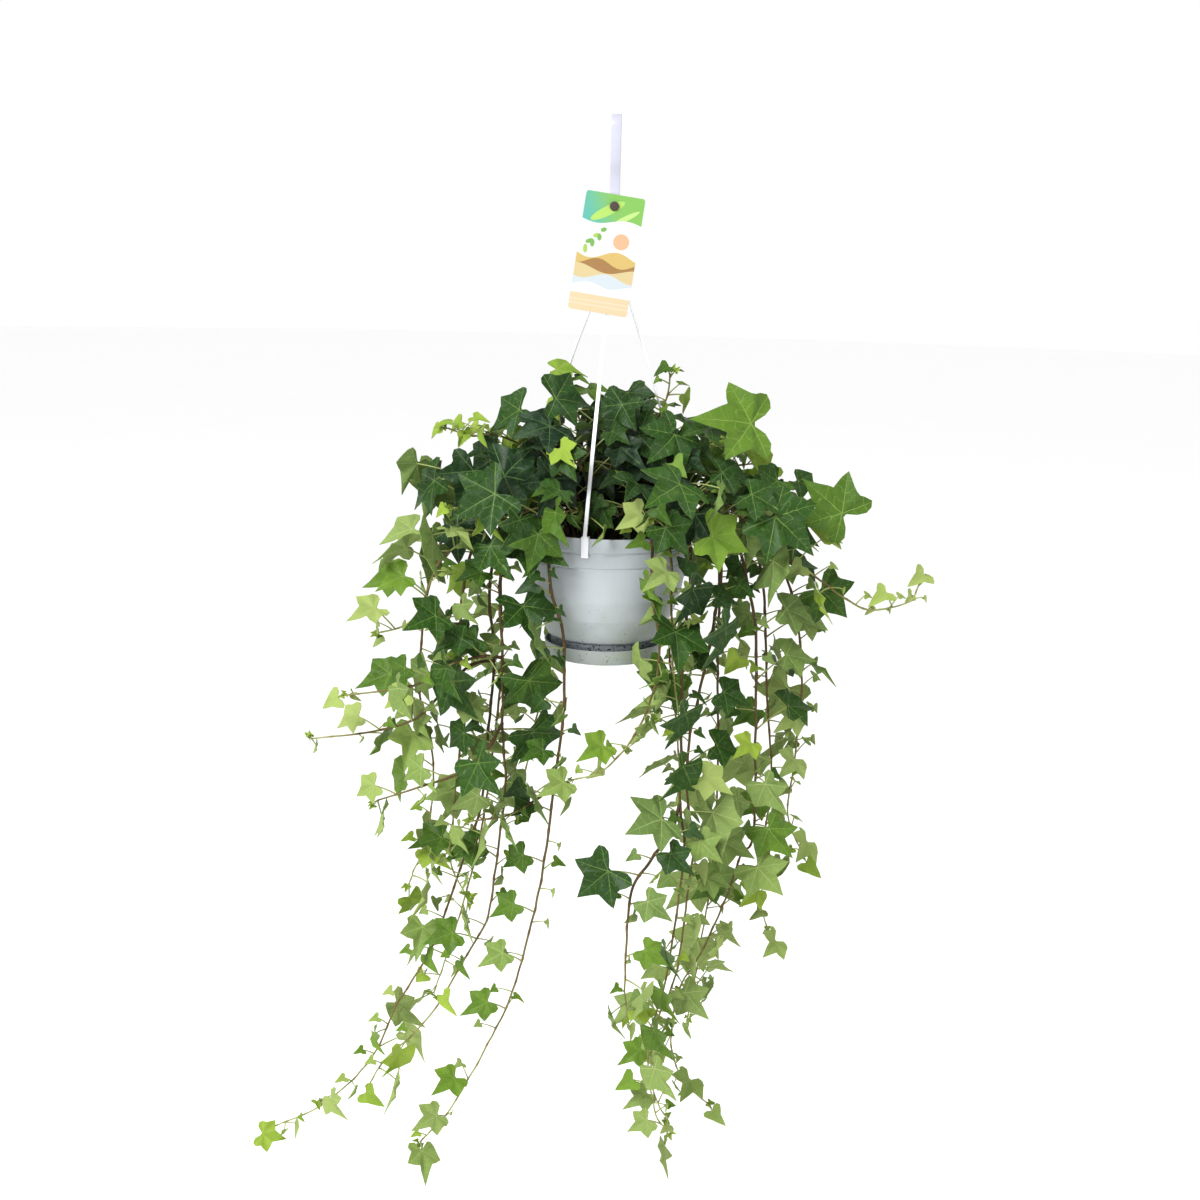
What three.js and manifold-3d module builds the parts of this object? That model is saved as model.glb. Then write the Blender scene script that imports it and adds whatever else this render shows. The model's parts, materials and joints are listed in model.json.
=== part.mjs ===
// A climbing ivy planted in a plastic hanging pot with a saucer, a picture card and a strap hook.
// Units are millimetres, +Z is up and the front faces -Y.
// The origin is the middle of the hook's inner top, the spot that the whole pot hangs by.
import * as THREE from 'three';
import { mergeVertices } from 'three/addons/utils/BufferGeometryUtils.js';
import Module from 'manifold-3d';

const wasm = await Module();
wasm.setup();

// Driving dimensions of the made parts
const HANG = 427;                 // from the hook's inner top down to the pot's rim
const POT_R = 90;                 // pot radius at the rim
const POT_H = 140;                // pot height, rim to foot
const POT_WALL = 1.8;
const FOOT_R = 58;
const SAUCER_R = 65;
const SAUCER_H = 17;
const SOIL_BELOW_RIM = 14;
const GAP = 0.3;                  // clearance where two pieces touch
const TURNS = 24;                 // facets round the pot, the soil and the saucer
const STRAP_W = 10.5;             // hook strap
const STRAP_T = 2.6;
const HOOK_R = 11;                // inside radius of the hook
const BOSS_Z = -158;              // middle of the boss where the three strands meet
const BOSS_R = 8;
const STRAND_W = 4.2;
const STRAND_T = 1.8;
const CARD_W = 62;
const CARD_H = 124;
const CARD_T = 0.8;
const CARD_TOP = -78;
const CARD_LEAN = 8;              // degrees that the card hangs out of plumb
const CARD_FORWARD = 11;          // degrees that the front strand holds its foot forward
const PEG_Z = -90;                // peg on the strap that the card hangs on
const PEG_R = 2.4;
const CARD_Y = -4.6;              // back of the card, in front of the strap

// Driving dimensions of the ivy
const STEM_ROOT_R = 1.9;
const STEM_TIP_R = 0.8;
const PETIOLE_R = 0.95;
const ROOT_FINE = 0.4;            // a stalk's root in the stem, against its other end
const BLADE_T = 0.8;
const HOLE_CLEAR = 0.6;           // soil hole round a stem
const HOLE_DEEP = 10;
const STOUT = 1.15;               // makes up for the few sides of a stem
const LINK = 80;                  // longest straight piece of stem
const KEEP_CROWN = 46;            // leaves this long or longer are all here in the crown
const KEEP_TRAILS = 62;           // and on the trails
const KEEP_ONE_IN = 6;            // and so many of the smaller ones
const TRIES = 36;                 // turns that a leaf is tried at before it is left out
const BEHIND = 0.3;               // least share of a stalk's way that runs out through the back
const ROOM = { half: 1.1, grow: 1.04, from: 4.5, extra: 0.5 };  // what a leaf keeps clear
const STEPS = 12;                 // points along a stem from one route point to the next

const RIM_Z = -HANG;
const FLOOR_Z = RIM_Z - POT_H;
const SOIL_Z = RIM_Z - SOIL_BELOW_RIM;
const v = (x, y, z) => new THREE.Vector3(x, y, z);
const rad = THREE.MathUtils.degToRad;

// Solids and meshes

function solidFrom(positions, triangles) {
  return new wasm.Manifold(new wasm.Mesh({
    numProp: 3,
    vertProperties: new Float32Array(positions),
    triVerts: new Uint32Array(triangles),
  }));
}

function solidOf(geometry) {
  const bare = geometry.clone();
  bare.deleteAttribute('normal');
  bare.deleteAttribute('uv');
  const merged = mergeVertices(bare, 1e-3);
  return solidFrom(merged.attributes.position.array, merged.index.array);
}

function meshOf(name, solid, material) {
  const { vertProperties, triVerts } = solid.getMesh();
  const geometry = new THREE.BufferGeometry();
  geometry.setAttribute('position', new THREE.BufferAttribute(vertProperties, 3));
  geometry.setIndex(new THREE.BufferAttribute(triVerts, 1));
  geometry.computeVertexNormals();
  const mesh = new THREE.Mesh(geometry, material);
  mesh.name = name;
  return mesh;
}

function surface(color, roughness) {
  return new THREE.MeshStandardMaterial({ color, roughness, metalness: 0 });
}

// A closed tube with a flat ring of corners at each point; a flat strip has width along `across`
function sweep(path, sizes, sides, across) {
  const positions = [];
  const triangles = [];
  const side = across ? across.clone() : v(0.3, 1, 0.1);
  path.forEach((point, i) => {
    const ahead = path[Math.min(i + 1, path.length - 1)];
    const along = ahead.clone().sub(path[Math.max(i - 1, 0)]).normalize();
    side.addScaledVector(along, -side.dot(along)).normalize();
    const up = along.clone().cross(side);
    for (let k = 0; k < sides; k++) {
      const turn = 2 * Math.PI * (k + 0.5) / sides;
      const corner = point.clone()
        .addScaledVector(side, Math.cos(turn) * sizes[i][0])
        .addScaledVector(up, Math.sin(turn) * sizes[i][1]);
      positions.push(...corner.toArray());
    }
  });
  for (let i = 0; i + 1 < path.length; i++) {
    for (let k = 0; k < sides; k++) {
      const a = i * sides + k;
      const b = i * sides + (k + 1) % sides;
      triangles.push(a, b, b + sides, a, b + sides, a + sides);
    }
  }
  const last = (path.length - 1) * sides;
  for (let k = 1; k + 1 < sides; k++) {
    triangles.push(0, k + 1, k, last, last + k, last + k + 1);
  }
  return solidFrom(positions, triangles);
}

const ribbon = (path, width, thick, across) =>
  sweep(path, path.map(() => [width / Math.SQRT2, thick / Math.SQRT2]), 4, across);

function lathe(profile, turns = TURNS) {
  const points = profile.map(([r, z]) => new THREE.Vector2(r, z));
  const geometry = new THREE.LatheGeometry(points, turns);
  geometry.rotateX(Math.PI / 2);
  return solidOf(geometry);
}

// An outline in the YZ plane, extruded across X
function slabAcross(outline, width) {
  const shape = new THREE.Shape(outline.map(([y, z]) => new THREE.Vector2(y, z)));
  const geometry = new THREE.ExtrudeGeometry(shape, { depth: width, bevelEnabled: false });
  geometry.translate(0, 0, -width / 2);
  geometry.applyMatrix4(new THREE.Matrix4().makeBasis(v(0, 1, 0), v(0, 0, 1), v(1, 0, 0)));
  return solidOf(geometry);
}

// Pot, saucer and soil. Each profile runs from the axis outside and back to the axis inside.

const potInside = [[54, 2.5], [57, 22], [72, 46], [82, 74], [86, 104], [88.2, POT_H]];

function makePot() {
  const outside = [
    [0, 0], [FOOT_R, 0], [FOOT_R, 4], [FOOT_R + 1, 5.5], [FOOT_R, 7], [FOOT_R, 20],
    [61, 22], [66, 31], [75, 48], [82.5, 70], [87, 96], [88, 106], [87, 107.5], [88.6, 109],
    [89.2, 122], [88, 123.5], [POT_R, 125.5], [POT_R, POT_H],
  ];
  const profile = [...outside, ...[...potInside].reverse(), [0, 2.5]];
  let pot = lathe(profile.map(([r, z]) => [r, FLOOR_Z + z]));
  const drain = new THREE.CylinderGeometry(4, 4, 10, 6).rotateX(Math.PI / 2);
  for (const turn of [45, 135, 225, 315]) {
    const hole = drain.clone();
    hole.translate(34 * Math.cos(rad(turn)), 34 * Math.sin(rad(turn)), FLOOR_Z + 1);
    pot = pot.subtract(solidOf(hole));
  }
  return pot;
}

function makeSaucer() {
  const low = -GAP - 1.8;
  const lip = FOOT_R + GAP;
  return lathe([
    [0, low], [SAUCER_R - 7, low], [SAUCER_R - 3, low + 2], [SAUCER_R, low + SAUCER_H],
    [SAUCER_R - 1.8, low + SAUCER_H], [SAUCER_R - 4.4, low + 4], [lip + 2, -GAP],
    [lip + 1.9, 6.2], [lip, 7.3], [lip + 1, 5.5], [lip, 3.7], [lip, -GAP], [0, -GAP],
  ].map(([r, z]) => [r, FLOOR_Z + z]));
}

function makeSoil(stems) {
  const top = SOIL_Z - FLOOR_Z;
  const wall = potInside.filter(([, z]) => z < top).map(([r, z]) => [r - GAP - 0.2, z + GAP]);
  const shape = [[0, 2.5 + GAP], ...wall, [86.6, top - 1], [60, top + 2], [0, top + 4]];
  let soil = lathe(shape.map(([r, z]) => [r, FLOOR_Z + z]));
  const reach = STEM_ROOT_R * STOUT + HOLE_CLEAR * 2;
  for (const { main: [foot, , high] } of stems) {
    const low = foot.clone().setZ(foot.z - 0.5);
    soil = soil.subtract(sweep([low, high], [[reach, reach], [reach, reach]], 3));
  }
  return soil;
}

// Hanger: a strap bent into a hook, a boss at its foot and three strands clipped over the rim

function makeHook() {
  const outer = HOOK_R + STRAP_T;
  const bend = [];
  const back = [];
  // the inner top is one flat facet, level, that a ceiling hook bears on
  for (const turn of [180, 150, 120, 105, 75, 60, 30, 0]) {
    const flat = HOOK_R * Math.sin(rad(75));
    bend.push([outer * Math.cos(rad(turn)), outer * Math.sin(rad(turn)) - flat]);
    back.unshift([HOOK_R * Math.cos(rad(turn)), HOOK_R * Math.sin(rad(turn)) - flat]);
  }
  const half = STRAP_T / 2;
  const shank = [[-half, BOSS_Z + 2], [-half, -62], [-outer, -34]];
  const shankBack = [[-HOOK_R, -34.6], [half, -61], [half, BOSS_Z + 2]];
  const tip = [[outer, -28], [outer + 4, -38], [outer + 1.6, -39], [HOOK_R, -28.6]];
  const strap = slabAcross([...shank, ...bend, ...tip, ...back, ...shankBack], STRAP_W);
  const boss = new THREE.CylinderGeometry(BOSS_R, BOSS_R - 1, 12, 12).rotateX(Math.PI / 2);
  boss.translate(0, 0, BOSS_Z);
  const peg = new THREE.CylinderGeometry(PEG_R, PEG_R, 7, 8).translate(0, -4, PEG_Z);
  const head = new THREE.CylinderGeometry(PEG_R + 2.4, PEG_R + 1.4, 1.4, 8);
  head.translate(0, -7.9, PEG_Z);
  return strap.add(solidOf(boss)).add(solidOf(peg)).add(solidOf(head));
}

// azimuth of the clip on the rim, and how far the strand bows out half way down
const STRANDS = {
  hanger_strand_front: { turn: -104, bow: 2 },
  hanger_strand_right: { turn: 16, bow: 4 },
  hanger_strand_left: { turn: 150, bow: 12 },
};

function makeStrand({ turn, bow }) {
  const out = v(Math.cos(rad(turn)), Math.sin(rad(turn)), 0);
  const across = v(-out.y, out.x, 0);
  const at = (r, z) => out.clone().multiplyScalar(r).setZ(z);
  const top = at(BOSS_R + GAP + 0.8, BOSS_Z - 3);
  const leg = POT_R + GAP + 1.1;
  const foot = at(leg + 0.5, RIM_Z + 3);
  const path = [];
  for (let i = 0; i <= 4; i++) {
    const t = i / 4;
    const bowed = bow * 4 * t * (1 - t);
    path.push(top.clone().lerp(foot, t).addScaledVector(out, bowed));
  }
  path.push(at(leg + 0.5, RIM_Z - 12));
  const strand = ribbon(path, STRAND_W, STRAND_T, across);
  const toe = ribbon([at(BOSS_R + 1.2, BOSS_Z + 1), top, path[1]], STRAND_W, STRAND_T, across);
  // the clip is a folded strap over the rim, with a leg outside and a shorter one inside
  const inner = POT_R - POT_WALL - 2.4;
  const clip = ribbon(
    [at(leg, RIM_Z - 20), at(leg, RIM_Z + 1.4), at(inner, RIM_Z + 1.4), at(inner, RIM_Z - 8)],
    8, 1.8, across,
  );
  return strand.add(toe).add(clip);
}

function makeCard() {
  const w = CARD_W / 2;
  const corner = 3;
  const shape = new THREE.Shape();
  shape.moveTo(-w + corner, 0);
  shape.lineTo(w - corner, 0);
  shape.lineTo(w, -corner);
  shape.lineTo(w, -CARD_H + corner);
  shape.lineTo(w - corner, -CARD_H);
  shape.lineTo(-w + corner, -CARD_H);
  shape.lineTo(-w, -CARD_H + corner);
  shape.lineTo(-w, -corner);
  const geometry = new THREE.ExtrudeGeometry(shape, { depth: CARD_T, bevelEnabled: false });
  geometry.translate(0, CARD_TOP - PEG_Z, 0);
  const hole = new THREE.CylinderGeometry(PEG_R + GAP, PEG_R + GAP, 8, 8);
  hole.rotateX(Math.PI / 2);
  return solidOf(geometry).subtract(solidOf(hole));
}

// Ivy. A route is a short list of places that a stem passes, from the soil to its tip.
// `leaf` gives leaf length near the root and at the tip, `face` the way the blades look (degrees
// from +X), `lift` how far they look up, and `bare` the stretch of stem below the first leaf.
// `end` sets the last leaf: its length, the way it looks, its lift and how far its tip swings.
// Stems of the crown stand up out of the pot, and trails hang over its rim.

const CROWN = [
  {
    name: 'crown_front_left', root: [-18, -34], leaf: [63, 55], space: 26, face: -105, lift: 35,
    bare: 36, end: [76, -115, 30, -50],
    route: [[-26, -44, -400], [-40, -58, -372], [-58, -66, -356], [-76, -70, -358]],
  },
  {
    name: 'crown_left', root: [-40, -6], leaf: [59, 52], space: 26, face: -115, lift: 35,
    bare: 36, end: [66, -110, 20, -60],
    route: [[-66, -14, -388], [-96, -28, -364], [-126, -44, -370], [-150, -56, -400]],
  },
  {
    name: 'twig_left_high', root: [-30, 8], leaf: [42, 24], space: 24, face: -110, lift: 35,
    bare: 50,
    route: [
      [-56, 4, -382], [-86, -8, -346], [-118, -20, -330], [-146, -30, -330], [-168, -36, -322],
    ],
  },
  {
    name: 'twig_left_low', root: [-34, -20], leaf: [40, 24], space: 24, face: -100, lift: 25,
    bare: 60,
    route: [[-46, -36, -405], [-76, -66, -410], [-112, -92, -408], [-156, -100, -396]],
  },
  {
    name: 'crown_top_left', root: [-14, 12], leaf: [53, 40], space: 26, face: -100, lift: 45,
    bare: 50, end: [42, -80, 60, -90],
    route: [[-16, 14, -400], [-20, 14, -350], [-34, 10, -308], [-54, 4, -276]],
  },
  {
    name: 'crown_top_right', root: [16, 8], leaf: [48, 26], space: 26, face: -80, lift: 40,
    bare: 60,
    route: [[22, 10, -400], [36, 12, -350], [52, 12, -312], [62, 6, -286], [63, 0, -264]],
  },
  {
    name: 'crown_middle', root: [0, -12], leaf: [57, 50], space: 24, face: -90, lift: 35,
    bare: 36, end: [60, -88, 30, 30],
    route: [[2, -18, -400], [4, -28, -356], [12, -38, -322]],
  },
  {
    name: 'crown_front_right', root: [18, -34], leaf: [55, 52], space: 24, face: -85, lift: 30,
    bare: 36, end: [64, -80, 20, 35],
    route: [[26, -44, -398], [42, -56, -366], [62, -64, -360], [80, -74, -376]],
  },
  {
    name: 'crown_right_high', root: [28, -10], leaf: [52, 46], space: 26, face: -80, lift: 35,
    bare: 40, end: [80, -88, 20, 125],
    route: [[46, -14, -385], [78, -28, -345], [106, -42, -330], [126, -52, -322]],
  },
  {
    name: 'crown_right', root: [34, 6], leaf: [50, 37], space: 24, face: -70, lift: 35,
    bare: 44, end: [46, -80, 20, 60],
    route: [[62, 4, -384], [96, -8, -358], [130, -22, -356], [156, -30, -352]],
  },
  {
    name: 'crown_right_outer', root: [44, 16], leaf: [50, 42], space: 28, face: -75, lift: 30,
    bare: 60, end: [72, -90, 10, 130],
    route: [
      [78, 12, -378], [124, -2, -372], [168, -20, -384], [204, -36, -398], [226, -44, -402],
    ],
  },
  {
    name: 'crown_right_front', root: [34, -44], leaf: [57, 57], space: 28, face: -85, lift: 30,
    bare: 50, end: [80, -90, 25, -50],
    route: [[54, -58, -396], [86, -80, -398], [118, -92, -398], [148, -96, -396]],
  },
  {
    name: 'crown_back_left', root: [-24, 34], leaf: [57, 50], space: 26, face: 125, lift: 35,
    bare: 40, end: [66, 130, 25, 40],
    route: [[-38, 44, -392], [-62, 60, -358], [-90, 72, -352], [-116, 80, -366]],
  },
  {
    name: 'crown_back_middle', root: [0, 30], leaf: [57, 50], space: 24, face: 90, lift: 40,
    bare: 36, end: [62, 90, 25, -20],
    route: [[2, 36, -398], [6, 50, -352], [10, 68, -326], [12, 88, -338]],
  },
  {
    name: 'crown_back_right', root: [24, 36], leaf: [57, 50], space: 26, face: 60, lift: 35,
    bare: 40, end: [66, 50, 25, -40],
    route: [[40, 46, -392], [66, 60, -356], [94, 72, -350], [122, 78, -366]],
  },
  {
    name: 'crown_low_middle', root: [-8, -52], leaf: [46, 46], space: 29, face: -95, lift: 25,
    bare: 56, end: [60, -100, 15, 30],
    route: [[-16, -64, -410], [-36, -84, -398], [-52, -96, -404]],
  },
  {
    name: 'crown_low_left', root: [-24, -56], leaf: [52, 50], space: 26, face: -105, lift: 25,
    bare: 50, end: [58, -108, 20, -35],
    route: [[-38, -70, -408], [-64, -86, -396], [-90, -96, -402], [-108, -98, -418]],
  },
  {
    name: 'crown_low_right', root: [10, -50], leaf: [48, 46], space: 28, face: -85, lift: 25,
    bare: 56, end: [56, -85, 15, -40],
    route: [[14, -64, -406], [28, -86, -390], [46, -100, -400]],
  },
  {
    name: 'crown_middle_left', root: [-12, -22], leaf: [59, 52], space: 24, face: -105, lift: 35,
    bare: 44, end: [64, -105, 30, -30],
    route: [[-18, -28, -392], [-32, -42, -348], [-48, -52, -324]],
  },
  {
    name: 'crown_middle_right', root: [12, -20], leaf: [57, 50], space: 24, face: -80, lift: 35,
    bare: 44, end: [62, -75, 30, 35],
    route: [[20, -26, -392], [36, -40, -348], [54, -50, -332]],
  },
  {
    name: 'crown_top', root: [0, 12], leaf: [55, 46], space: 24, face: -90, lift: 45,
    bare: 60, end: [54, -90, 50, -20],
    route: [[2, 14, -395], [6, 16, -345], [12, 14, -304]],
  },
];

const TRAILS = [
  {
    name: 'trail_left_inner', root: [-34, -46], leaf: [52, 37], space: 36, face: -95, lift: 15,
    bare: 60,
    route: [
      [-44, -66, -408], [-58, -88, -425], [-56, -95, -480], [-43, -90, -527], [-41, -82, -615],
      [-49, -72, -694], [-58, -64, -784], [-75, -58, -877], [-96, -55, -958],
      [-122, -52, -1018], [-161, -50, -1093], [-193, -50, -1133],
    ],
    side: [[[-49, -72, -694], [-66, -76, -712], [-97, -80, -731], [-136, -82, -738]]],
  },
  {
    name: 'trail_left_middle', root: [-52, -22], leaf: [58, 37], space: 34, face: -105, lift: 15,
    bare: 40,
    route: [
      [-70, -40, -400], [-98, -58, -415], [-110, -66, -475], [-107, -70, -560],
      [-106, -64, -633], [-103, -52, -704], [-108, -46, -762], [-121, -40, -862],
      [-144, -36, -911], [-187, -33, -989], [-236, -30, -1043], [-253, -30, -1071],
    ],
    side: [
      [[-107, -70, -560], [-128, -84, -556], [-171, -92, -567], [-197, -95, -586],
        [-265, -95, -598]],
      [[-106, -64, -633], [-124, -78, -662], [-150, -84, -684], [-190, -84, -700],
        [-238, -84, -717]],
    ],
  },
  {
    name: 'trail_left_outer', root: [-60, 4], leaf: [56, 35], space: 34, face: -115, lift: 15,
    bare: 40,
    route: [
      [-84, 0, -395], [-112, -12, -425], [-124, -24, -497], [-118, -30, -573],
      [-127, -26, -696], [-133, -20, -751], [-155, -15, -821], [-185, -10, -912],
      [-225, -5, -986], [-257, 0, -1058], [-313, 2, -1118], [-372, 4, -1149],
    ],
    side: [[[-118, -30, -573], [-144, -38, -578], [-173, -40, -608], [-203, -42, -638],
      [-253, -42, -654], [-315, -40, -663]]],
  },
  {
    name: 'shoot_left_high', root: [-46, -34], leaf: [56, 41], space: 32, face: -100, lift: 25,
    bare: 60,
    route: [
      [-72, -52, -385], [-110, -72, -400], [-143, -78, -430], [-172, -84, -455],
      [-192, -88, -503], [-208, -90, -523], [-236, -88, -532],
    ],
  },
  {
    name: 'trail_left_side', root: [-64, 24], leaf: [54, 41], space: 34, face: -120, lift: 15,
    bare: 50,
    route: [
      [-96, 20, -385], [-140, 8, -400], [-178, 0, -450], [-195, 0, -515], [-201, -4, -615],
      [-186, -8, -693], [-190, -10, -775], [-212, -10, -838],
    ],
  },
  {
    name: 'trail_left_short', root: [-58, -10], leaf: [54, 41], space: 34, face: -100, lift: 15,
    bare: 60,
    route: [
      [-84, -22, -392], [-124, -42, -412], [-146, -52, -465], [-153, -56, -547],
      [-151, -56, -634], [-158, -52, -726], [-162, -48, -797], [-142, -46, -840],
    ],
  },
  {
    name: 'trail_right_front', root: [50, -40], leaf: [56, 39], space: 35, face: -85, lift: 15,
    bare: 60,
    route: [
      [70, -58, -405], [86, -74, -425], [88, -84, -480], [84, -86, -534], [83, -84, -576],
      [85, -79, -652], [86, -76, -715], [92, -73, -760], [90, -70, -813], [77, -63, -928],
      [63, -58, -986], [62, -55, -1036], [72, -55, -1090], [86, -55, -1109],
    ],
    side: [[[86, -76, -715], [76, -84, -746], [56, -90, -776], [37, -92, -808],
      [33, -92, -866], [32, -90, -926], [36, -90, -956]]],
  },
  {
    name: 'trail_right_inner', root: [58, -22], leaf: [56, 39], space: 35, face: -80, lift: 15,
    bare: 50,
    route: [
      [84, -38, -400], [112, -50, -420], [122, -56, -460], [117, -58, -516], [104, -55, -594],
      [95, -49, -657], [96, -42, -722], [104, -38, -768], [102, -34, -817], [90, -30, -932],
      [72, -28, -989], [66, -26, -1054], [76, -26, -1093], [85, -26, -1108],
    ],
  },
  {
    name: 'trail_right_outer', root: [62, -4], leaf: [58, 41], space: 34, face: -75, lift: 15,
    bare: 50,
    route: [
      [94, -14, -395], [132, -30, -420], [152, -40, -480], [163, -40, -536],
      [167, -34, -631], [171, -22, -765], [159, -15, -794], [145, -10, -848],
      [118, -5, -918], [96, 0, -963], [89, 0, -1022], [101, 2, -1069], [118, 2, -1091],
      [132, 2, -1103],
    ],
  },
  {
    name: 'trail_right_side', root: [60, 20], leaf: [58, 40], space: 34, face: -65, lift: 15,
    bare: 50,
    route: [
      [98, 14, -390], [146, 2, -415], [172, -4, -490], [181, 0, -607], [192, 10, -713],
      [188, 15, -774], [183, 16, -846], [196, 15, -894],
    ],
  },
  {
    name: 'trail_right_back', root: [52, 38], leaf: [56, 42], space: 34, face: -60, lift: 15,
    bare: 50,
    route: [
      [90, 36, -380], [146, 26, -398], [184, 18, -450], [210, 18, -519], [222, 22, -599],
      [219, 27, -694], [214, 27, -759], [232, 26, -804],
    ],
  },
  {
    name: 'shoot_right_far', root: [40, -26], leaf: [44, 31], space: 30, face: -80, lift: 25,
    bare: 110,
    route: [
      [70, -46, -372], [118, -66, -388], [160, -68, -422], [194, -62, -449], [222, -54, -468],
      [256, -48, -492], [285, -45, -504], [324, -42, -495], [334, -40, -478],
    ],
  },
  {
    name: 'trail_middle', root: [26, -54], leaf: [34, 41], space: 34, face: -90, lift: 10,
    bare: 80,
    route: [
      [36, -74, -408], [46, -97, -424], [50, -102, -484], [58, -102, -540], [53, -100, -584],
      [34, -97, -636], [3, -94, -674], [-28, -92, -686],
    ],
  },
  {
    name: 'shoot_middle_right', root: [42, -58], leaf: [44, 48], space: 40, face: -90, lift: 10,
    bare: 50, end: [66, -90, 5, -30],
    route: [
      [55, -79, -408], [67, -95, -440], [69, -101, -498], [72, -102, -551], [78, -101, -594],
      [82, -102, -618],
    ],
  },
  {
    name: 'trail_back_left_long', root: [-50, 40], leaf: [56, 37], space: 36, face: 115, lift: 15,
    bare: 60,
    route: [
      [-72, 60, -402], [-104, 82, -425], [-118, 88, -500], [-116, 84, -600],
      [-124, 78, -700], [-140, 70, -820], [-165, 62, -920], [-190, 58, -1000],
    ],
  },
  {
    name: 'trail_back_left', root: [-28, 56], leaf: [56, 41], space: 36, face: 100, lift: 15,
    bare: 60,
    route: [
      [-42, 84, -404], [-54, 106, -430], [-58, 110, -500], [-64, 106, -600], [-78, 98, -690],
      [-92, 92, -760],
    ],
  },
  {
    name: 'trail_back_middle', root: [4, 62], leaf: [54, 44], space: 36, face: 90, lift: 15,
    bare: 50,
    route: [[6, 88, -402], [8, 108, -430], [10, 112, -490], [8, 106, -556]],
  },
  {
    name: 'trail_back_right', root: [32, 54], leaf: [56, 41], space: 36, face: 80, lift: 15,
    bare: 60,
    route: [
      [48, 80, -404], [64, 100, -430], [70, 106, -500], [78, 102, -600], [90, 96, -700],
      [98, 90, -800],
    ],
  },
  {
    name: 'trail_back_right_long', root: [50, 48], leaf: [56, 37], space: 36, face: 65, lift: 15,
    bare: 70,
    route: [
      [78, 66, -402], [114, 82, -425], [130, 88, -500], [132, 84, -610], [136, 76, -720],
      [134, 70, -840], [122, 64, -940], [112, 58, -1020],
    ],
  },
];

const VINES = [...CROWN, ...TRAILS.map((vine) => ({ ...vine, trails: true }))];

// Leaf outlines from the tip down one side towards the notch, in leaf lengths from the stalk's
// seat, which lies in the notch. The third number lifts the edge between two lobes.
const OUTLINES = {
  large: [[0, 0.72, 0], [0.22, 0.38, 0.02], [0.48, 0.3, 0], [0.4, 0.04, 0.02], [0.38, -0.24, 0]],
  middle: [[0, 0.74, 0], [0.19, 0.36, 0.03], [0.45, 0.24, 0], [0.32, -0.22, 0]],
  small: [[0, 0.78, 0], [0.17, 0.28, 0.03], [0.4, -0.02, 0]],
};

// Numbers from 0 to 1 that look random and are the same in every run
function draw(vine, leaf, attempt, use) {
  let s = 1 + vine * 7919 + leaf * 611953 + attempt * 1299709 + use * 15485863;
  for (let i = 0; i < 3; i++) {
    s = (s % 2147483647) * 48271;
  }
  return (s % 2147483647) / 2147483647;
}

function curve(points) {
  const path = [];
  for (let i = 0; i + 1 < points.length; i++) {
    const a = points[Math.max(i - 1, 0)];
    const [b, c] = [points[i], points[i + 1]];
    const d = points[Math.min(i + 2, points.length - 1)];
    for (let k = 0; k < STEPS; k++) {
      const t = k / STEPS;
      path.push(v(0, 0, 0)
        .addScaledVector(a, -0.5 * t + t * t - 0.5 * t ** 3)
        .addScaledVector(b, 1 - 2.5 * t * t + 1.5 * t ** 3)
        .addScaledVector(c, 0.5 * t + 2 * t * t - 1.5 * t ** 3)
        .addScaledVector(d, -0.5 * t * t + 0.5 * t ** 3));
    }
  }
  path.push(points[points.length - 1].clone());
  return path;
}

function lengthOf(path) {
  return path.slice(1).reduce((sum, p, i) => sum + p.distanceTo(path[i]), 0);
}

// The place at a distance along a path, and the way that the path runs there
function walk(path, distance) {
  let left = distance;
  for (let i = 0; i + 1 < path.length; i++) {
    const step = path[i].distanceTo(path[i + 1]);
    if (left <= step || i + 2 === path.length) {
      const along = path[i + 1].clone().sub(path[i]).normalize();
      return { point: path[i].clone().addScaledVector(along, Math.min(left, step)), along };
    }
    left -= step;
  }
}

// A stem of straight links through the points of its route, with the places of its leaves
function growStem(vine, seed, points, first, bare) {
  const path = curve(points);
  const links = [points[0]];
  for (let i = 0; i + 1 < points.length; i++) {
    const span = path.slice(i * STEPS, (i + 1) * STEPS + 1);
    const count = Math.ceil(lengthOf(span) / LINK);
    for (let k = 1; k <= count; k++) {
      links.push(span[Math.round(k * STEPS / count)]);
    }
  }
  const total = lengthOf(links);
  const leaves = [];
  let at = bare;
  while (at < total - 8) {
    const index = first + leaves.length;
    leaves.push({ index, at, f: at / total });
    at += vine.space * (1 - 0.3 * at / total) * (0.8 + 0.4 * draw(seed, index, 0, 0));
  }
  leaves.push({ index: first + leaves.length, at: total, f: 1, last: true });
  for (const leaf of leaves) {
    leaf.size = (vine.leaf[0] + (vine.leaf[1] - vine.leaf[0]) * leaf.f)
      * (vine.trails ? 0.6 + 0.8 * draw(seed, leaf.index, 0, 1)
        : 0.75 + 0.5 * draw(seed, leaf.index, 0, 1));
    leaf.kept = leaf.last || leaf.size >= (vine.trails ? KEEP_TRAILS : KEEP_CROWN)
      || leaf.index % KEEP_ONE_IN === 0;
    Object.assign(leaf, walk(links, leaf.at));
  }
  return { leaves, links, total };
}

function stemSolid({ links, total }, extra) {
  let at = 0;
  const sizes = links.map((point, i) => {
    at += i ? point.distanceTo(links[i - 1]) : 0;
    const radius = (STEM_ROOT_R + (STEM_TIP_R - STEM_ROOT_R) * at / total) * STOUT + extra;
    return [radius, radius];
  });
  return sweep(links, sizes, 3);
}

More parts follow.
